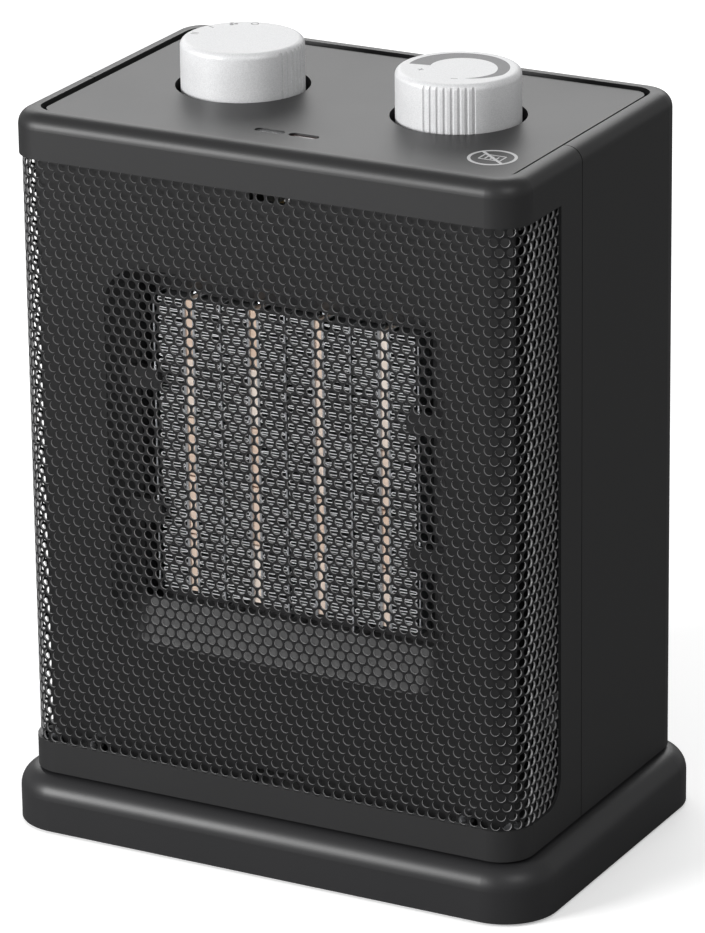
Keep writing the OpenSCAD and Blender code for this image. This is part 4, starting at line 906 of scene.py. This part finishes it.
def fold_line(middle, seed):
    """Edge view of one pack: the shape of half a fold, mirrored at every second one, stepping up in Z."""
    random = np.random.default_rng(seed)
    halves = int((fins_high.z - fins_low.z - 0.4 * MM) / FOLD_PITCH * 2)
    step = (fins_high.z - fins_low.z - 0.4 * MM) / halves
    way = np.where(np.arange(halves) % 2, -1, 1)[:, None]
    x = middle + (fin_width / 2 - FOIL_THICK) * way * FOLD_SHAPE[None, :, 0]
    level = np.arange(halves) + random.normal(0, 0.09, halves)
    tilt = random.normal(0, 0.1, (halves, 1)) * way * FOLD_SHAPE[None, :, 0]
    z = fins_low.z + 0.2 * MM + step * (level[:, None] + FOLD_SHAPE[None, :, 1] + tilt)
    line = np.stack([x.ravel(), np.clip(z.ravel(), fins_low.z + FOIL_THICK, fins_high.z - FOIL_THICK)], -1)
    return line


def foil(line, front, rear):
    """Closes a line into a foil: half its thickness to both sides, from the front edge to the rear edge."""
    step = np.gradient(line, axis=0)
    step /= np.linalg.norm(step, axis=1)[:, None]
    normal = np.stack([step[:, 1], -step[:, 0]], -1) * FOIL_THICK / 2
    outline = np.concatenate([line + normal, (line - normal)[::-1]])
    n = len(outline)
    depths = np.repeat([front, rear], n)
    points = np.stack([np.tile(outline[:, 0], 2), depths, np.tile(outline[:, 1], 2)], -1)
    here = np.arange(n)
    after = (here + 1) % n
    around = stack(after, here, here + n, after + n)
    half = np.arange(n // 2 - 1)
    caps = stack(half, half + 1, n - 2 - half, n - 1 - half)
    return points, np.concatenate([around, caps, caps[:, ::-1] + n])


packs = [foil(fold_line(middle, 11 + i), fins_low.y, fins_high.y) for i, middle in enumerate(pack_middles)]
fin_points = np.concatenate([points for points, faces in packs])
fin_faces = np.concatenate([faces + i * len(packs[0][0]) for i, (points, faces) in enumerate(packs)])
fins = put_in_mesh("folded_fins", fin_points, [fin_faces], foil_painted_shade_look, "heater")
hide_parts("ptc_fins")

# %% [markdown]
# ## Separator plates
# Flat plates part the columns and close both sides of the block. The three middle ones are cut a
# little long, and their ends show below the block as small bright ticks. The node's own box reaches
# down to those ends, so the block's bottom lies one tail higher.

# %% Plates
PLATE_TAIL = 3 * MM
block_bottom = plates_low.z + PLATE_TAIL
TAIL_DEPTH = 5 * MM
PLATE_SHEET = 0.55 * MM
EDGE_SHEET = 0.5 * MM
middle_edges = column_middles[:-1] + column_width / 2 + (PLATE_THICK - PLATE_SHEET) / 2
plate_lows = [[x, plates_low.y, block_bottom] for x in middle_edges]
plate_highs = [[x + PLATE_SHEET, plates_high.y, plates_high.z] for x in middle_edges]
plate_lows += [[x, plates_low.y, plates_low.z] for x in middle_edges]
plate_highs += [[x + PLATE_SHEET, plates_low.y + TAIL_DEPTH, block_bottom] for x in middle_edges]
side_edges = (plates_low.x, plates_high.x - EDGE_SHEET)
plate_lows += [[x, plates_low.y, block_bottom] for x in side_edges]
plate_highs += [[x + EDGE_SHEET, plates_high.y, plates_high.z] for x in side_edges]
plate_points, plate_faces = boxes(plate_lows, plate_highs)
plates = put_in_mesh("separator_plates", plate_points, [plate_faces], finishes["heater_aluminium"], "heater")
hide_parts("ptc_plates")

# %% [markdown]
# ## Keep-clear symbol
# On the panel's front right corner is a small printed sign: a crossed ring over three upright bars,
# which says that the outlet must stay clear. It is a film of pale ink on the panel.

# %% Panel print
panel_low, panel_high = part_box("top_panel")
SIGN_PLACE = (68 * MM, -33 * MM)
SIGN_RADIUS = 7.7 * MM
INK = 0.04 * MM
RING_WIDTH = 1.0 * MM
SLASH_WIDTH = 0.95 * MM
SLASH_TURN = radians(-40)
BAR_WIDTH = 0.5 * MM
SIGN_BARS = [(x, -0.3, pi / 2, 2.6) for x in (-1.8, 0, 1.8)]
SIGN_BARS += [(x, 0, pi / 2, 4.6) for x in (-3.6, 3.6)]
SIGN_BARS += [(0, y, 0, 7.2) for y in (-2.3, 2.3)]


def flat_ring(centre, inner, outer, low, high, steps=72):
    """Flat ring: inner and outer circles on two levels, joined all round."""
    angle = np.arange(steps) * 2 * pi / steps
    circles = [(inner, low), (outer, low), (outer, high), (inner, high)]
    points = np.concatenate([
        np.stack([centre[0] + r * np.cos(angle), centre[1] + r * np.sin(angle), np.full(steps, z)], -1)
        for r, z in circles])
    here = np.arange(steps)
    after = (here + 1) % steps
    faces = [stack(here + a * steps, after + a * steps, after + b * steps, here + b * steps)
             for a, b in ((0, 1), (1, 2), (2, 3), (3, 0))]
    return points, np.concatenate(faces)[:, ::-1]


def turned_bar(centre, turn, length, width, low, high):
    """Box about the centre, turned in the plane by an angle."""
    points, faces = boxes([[-length / 2, -width / 2, low]], [[length / 2, width / 2, high]])
    x = centre[0] + points[:, 0] * cos(turn) - points[:, 1] * sin(turn)
    y = centre[1] + points[:, 0] * sin(turn) + points[:, 1] * cos(turn)
    return np.stack([x, y, points[:, 2]], -1), faces


ink_low, ink_high = panel_high.z - INK / 2, panel_high.z + INK
parts = [flat_ring(SIGN_PLACE, SIGN_RADIUS - RING_WIDTH, SIGN_RADIUS, ink_low, ink_high)]
slash_length = 2 * SIGN_RADIUS - RING_WIDTH
parts.append(turned_bar(SIGN_PLACE, SLASH_TURN, slash_length, SLASH_WIDTH, ink_low, ink_high + INK / 4))
for across, along, turn, length in SIGN_BARS:
    place = (SIGN_PLACE[0] + across * MM, SIGN_PLACE[1] + along * MM)
    parts.append(turned_bar(place, turn, length * MM, BAR_WIDTH, ink_low, ink_high - INK / 4))
offsets = np.cumsum([0] + [len(points) for points, faces in parts])
sign_points = np.concatenate([points for points, faces in parts])
sign_faces = np.concatenate([faces + offsets[i] for i, (points, faces) in enumerate(parts)])
sign_ink = moulded("panel_ink", (0.5, 0.5, 0.505), 0.5, 0.3 * MM, 0.004 * MM)
put_in_mesh("keep_clear_sign", sign_points, [sign_faces], sign_ink, "heater")

# %% [markdown]
# ## Studio
# The heater stands on a plain pale floor under soft light. One softbox at the front left lights the
# front, a wide one behind is what the top panel and the rims reflect, one at the front right lights
# the walls of the punched holes, and the room itself is a dim white. A real studio hides the floor
# from glossy sides with black cards, and the floor does the same here by answering reflected rays
# with a darker tone.

# %% Floor


def floor_finish():
    """Pale matt floor with a slight cloud, darker in reflections and a little brighter when seen directly."""
    material, tree, shader, place = start_material("studio_floor")
    cloud = add(tree, "TexNoise", Vector=place, Scale=1.5)
    rays = add(tree, "LightPath").outputs
    pale = mixed(tree, cloud.outputs[0], (0.86, 0.86, 0.86, 1), (0.9, 0.9, 0.9, 1))
    join(tree, mixed(tree, rays["Is Glossy Ray"], pale, (0.16, 0.16, 0.16, 1)), shader.inputs["Base Color"])
    glow = mixed(tree, rays["Is Camera Ray"], (0, 0, 0, 1), (0.35, 0.35, 0.35, 1))
    join(tree, glow, shader.inputs["Emission Color"])
    shader.inputs["Emission Strength"].default_value = 1.0
    shader.inputs["Roughness"].default_value = 0.9
    shader.inputs["Specular IOR Level"].default_value = 0.1
    return material


FLOOR_HALF = 4
floor_mesh = bpy.data.meshes.new("studio_floor")
floor_corners = [(x * FLOOR_HALF, y * FLOOR_HALF, 0) for x, y in ((-1, -1), (1, -1), (1, 1), (-1, 1))]
floor_mesh.from_pydata(floor_corners, [], [(0, 1, 2, 3)])
floor_mesh.materials.append(floor_finish())
floor = bpy.data.objects.new("studio_floor", floor_mesh)
bpy.context.collection.objects.link(floor)

# %% Lights


def softbox(name, place, target, width, height, power):
    """Area light at a place, turned so that it faces the target."""
    light = bpy.data.lights.new(name, "AREA")
    light.shape = "RECTANGLE"
    light.size = width
    light.size_y = height
    light.energy = power
    lamp = bpy.data.objects.new(name, light)
    bpy.context.collection.objects.link(lamp)
    aim = (Vector(target) - Vector(place)).to_track_quat("-Z", "Y")
    lamp.matrix_world = Matrix.Translation(place) @ aim.to_matrix().to_4x4()


body_middle = (0, 0, 0.13)
softbox("front_softbox", (-1.0, -1.5, 0.65), body_middle, 0.7, 0.7, 38)
softbox("rear_softbox", (-0.75, 1.4, 1.0), body_middle, 1.7, 0.9, 12.5)
softbox("right_softbox", (1.3, -0.9, 1.5), body_middle, 0.9, 0.9, 10)
world = bpy.data.worlds.new("studio")
world.use_nodes = True
world.node_tree.nodes["Background"].inputs["Color"].default_value = (1, 1, 1, 1)
world.node_tree.nodes["Background"].inputs["Strength"].default_value = 0.45
bpy.context.scene.world = world
bpy.context.scene.view_settings.view_transform = "Standard"
print("Studio ready")
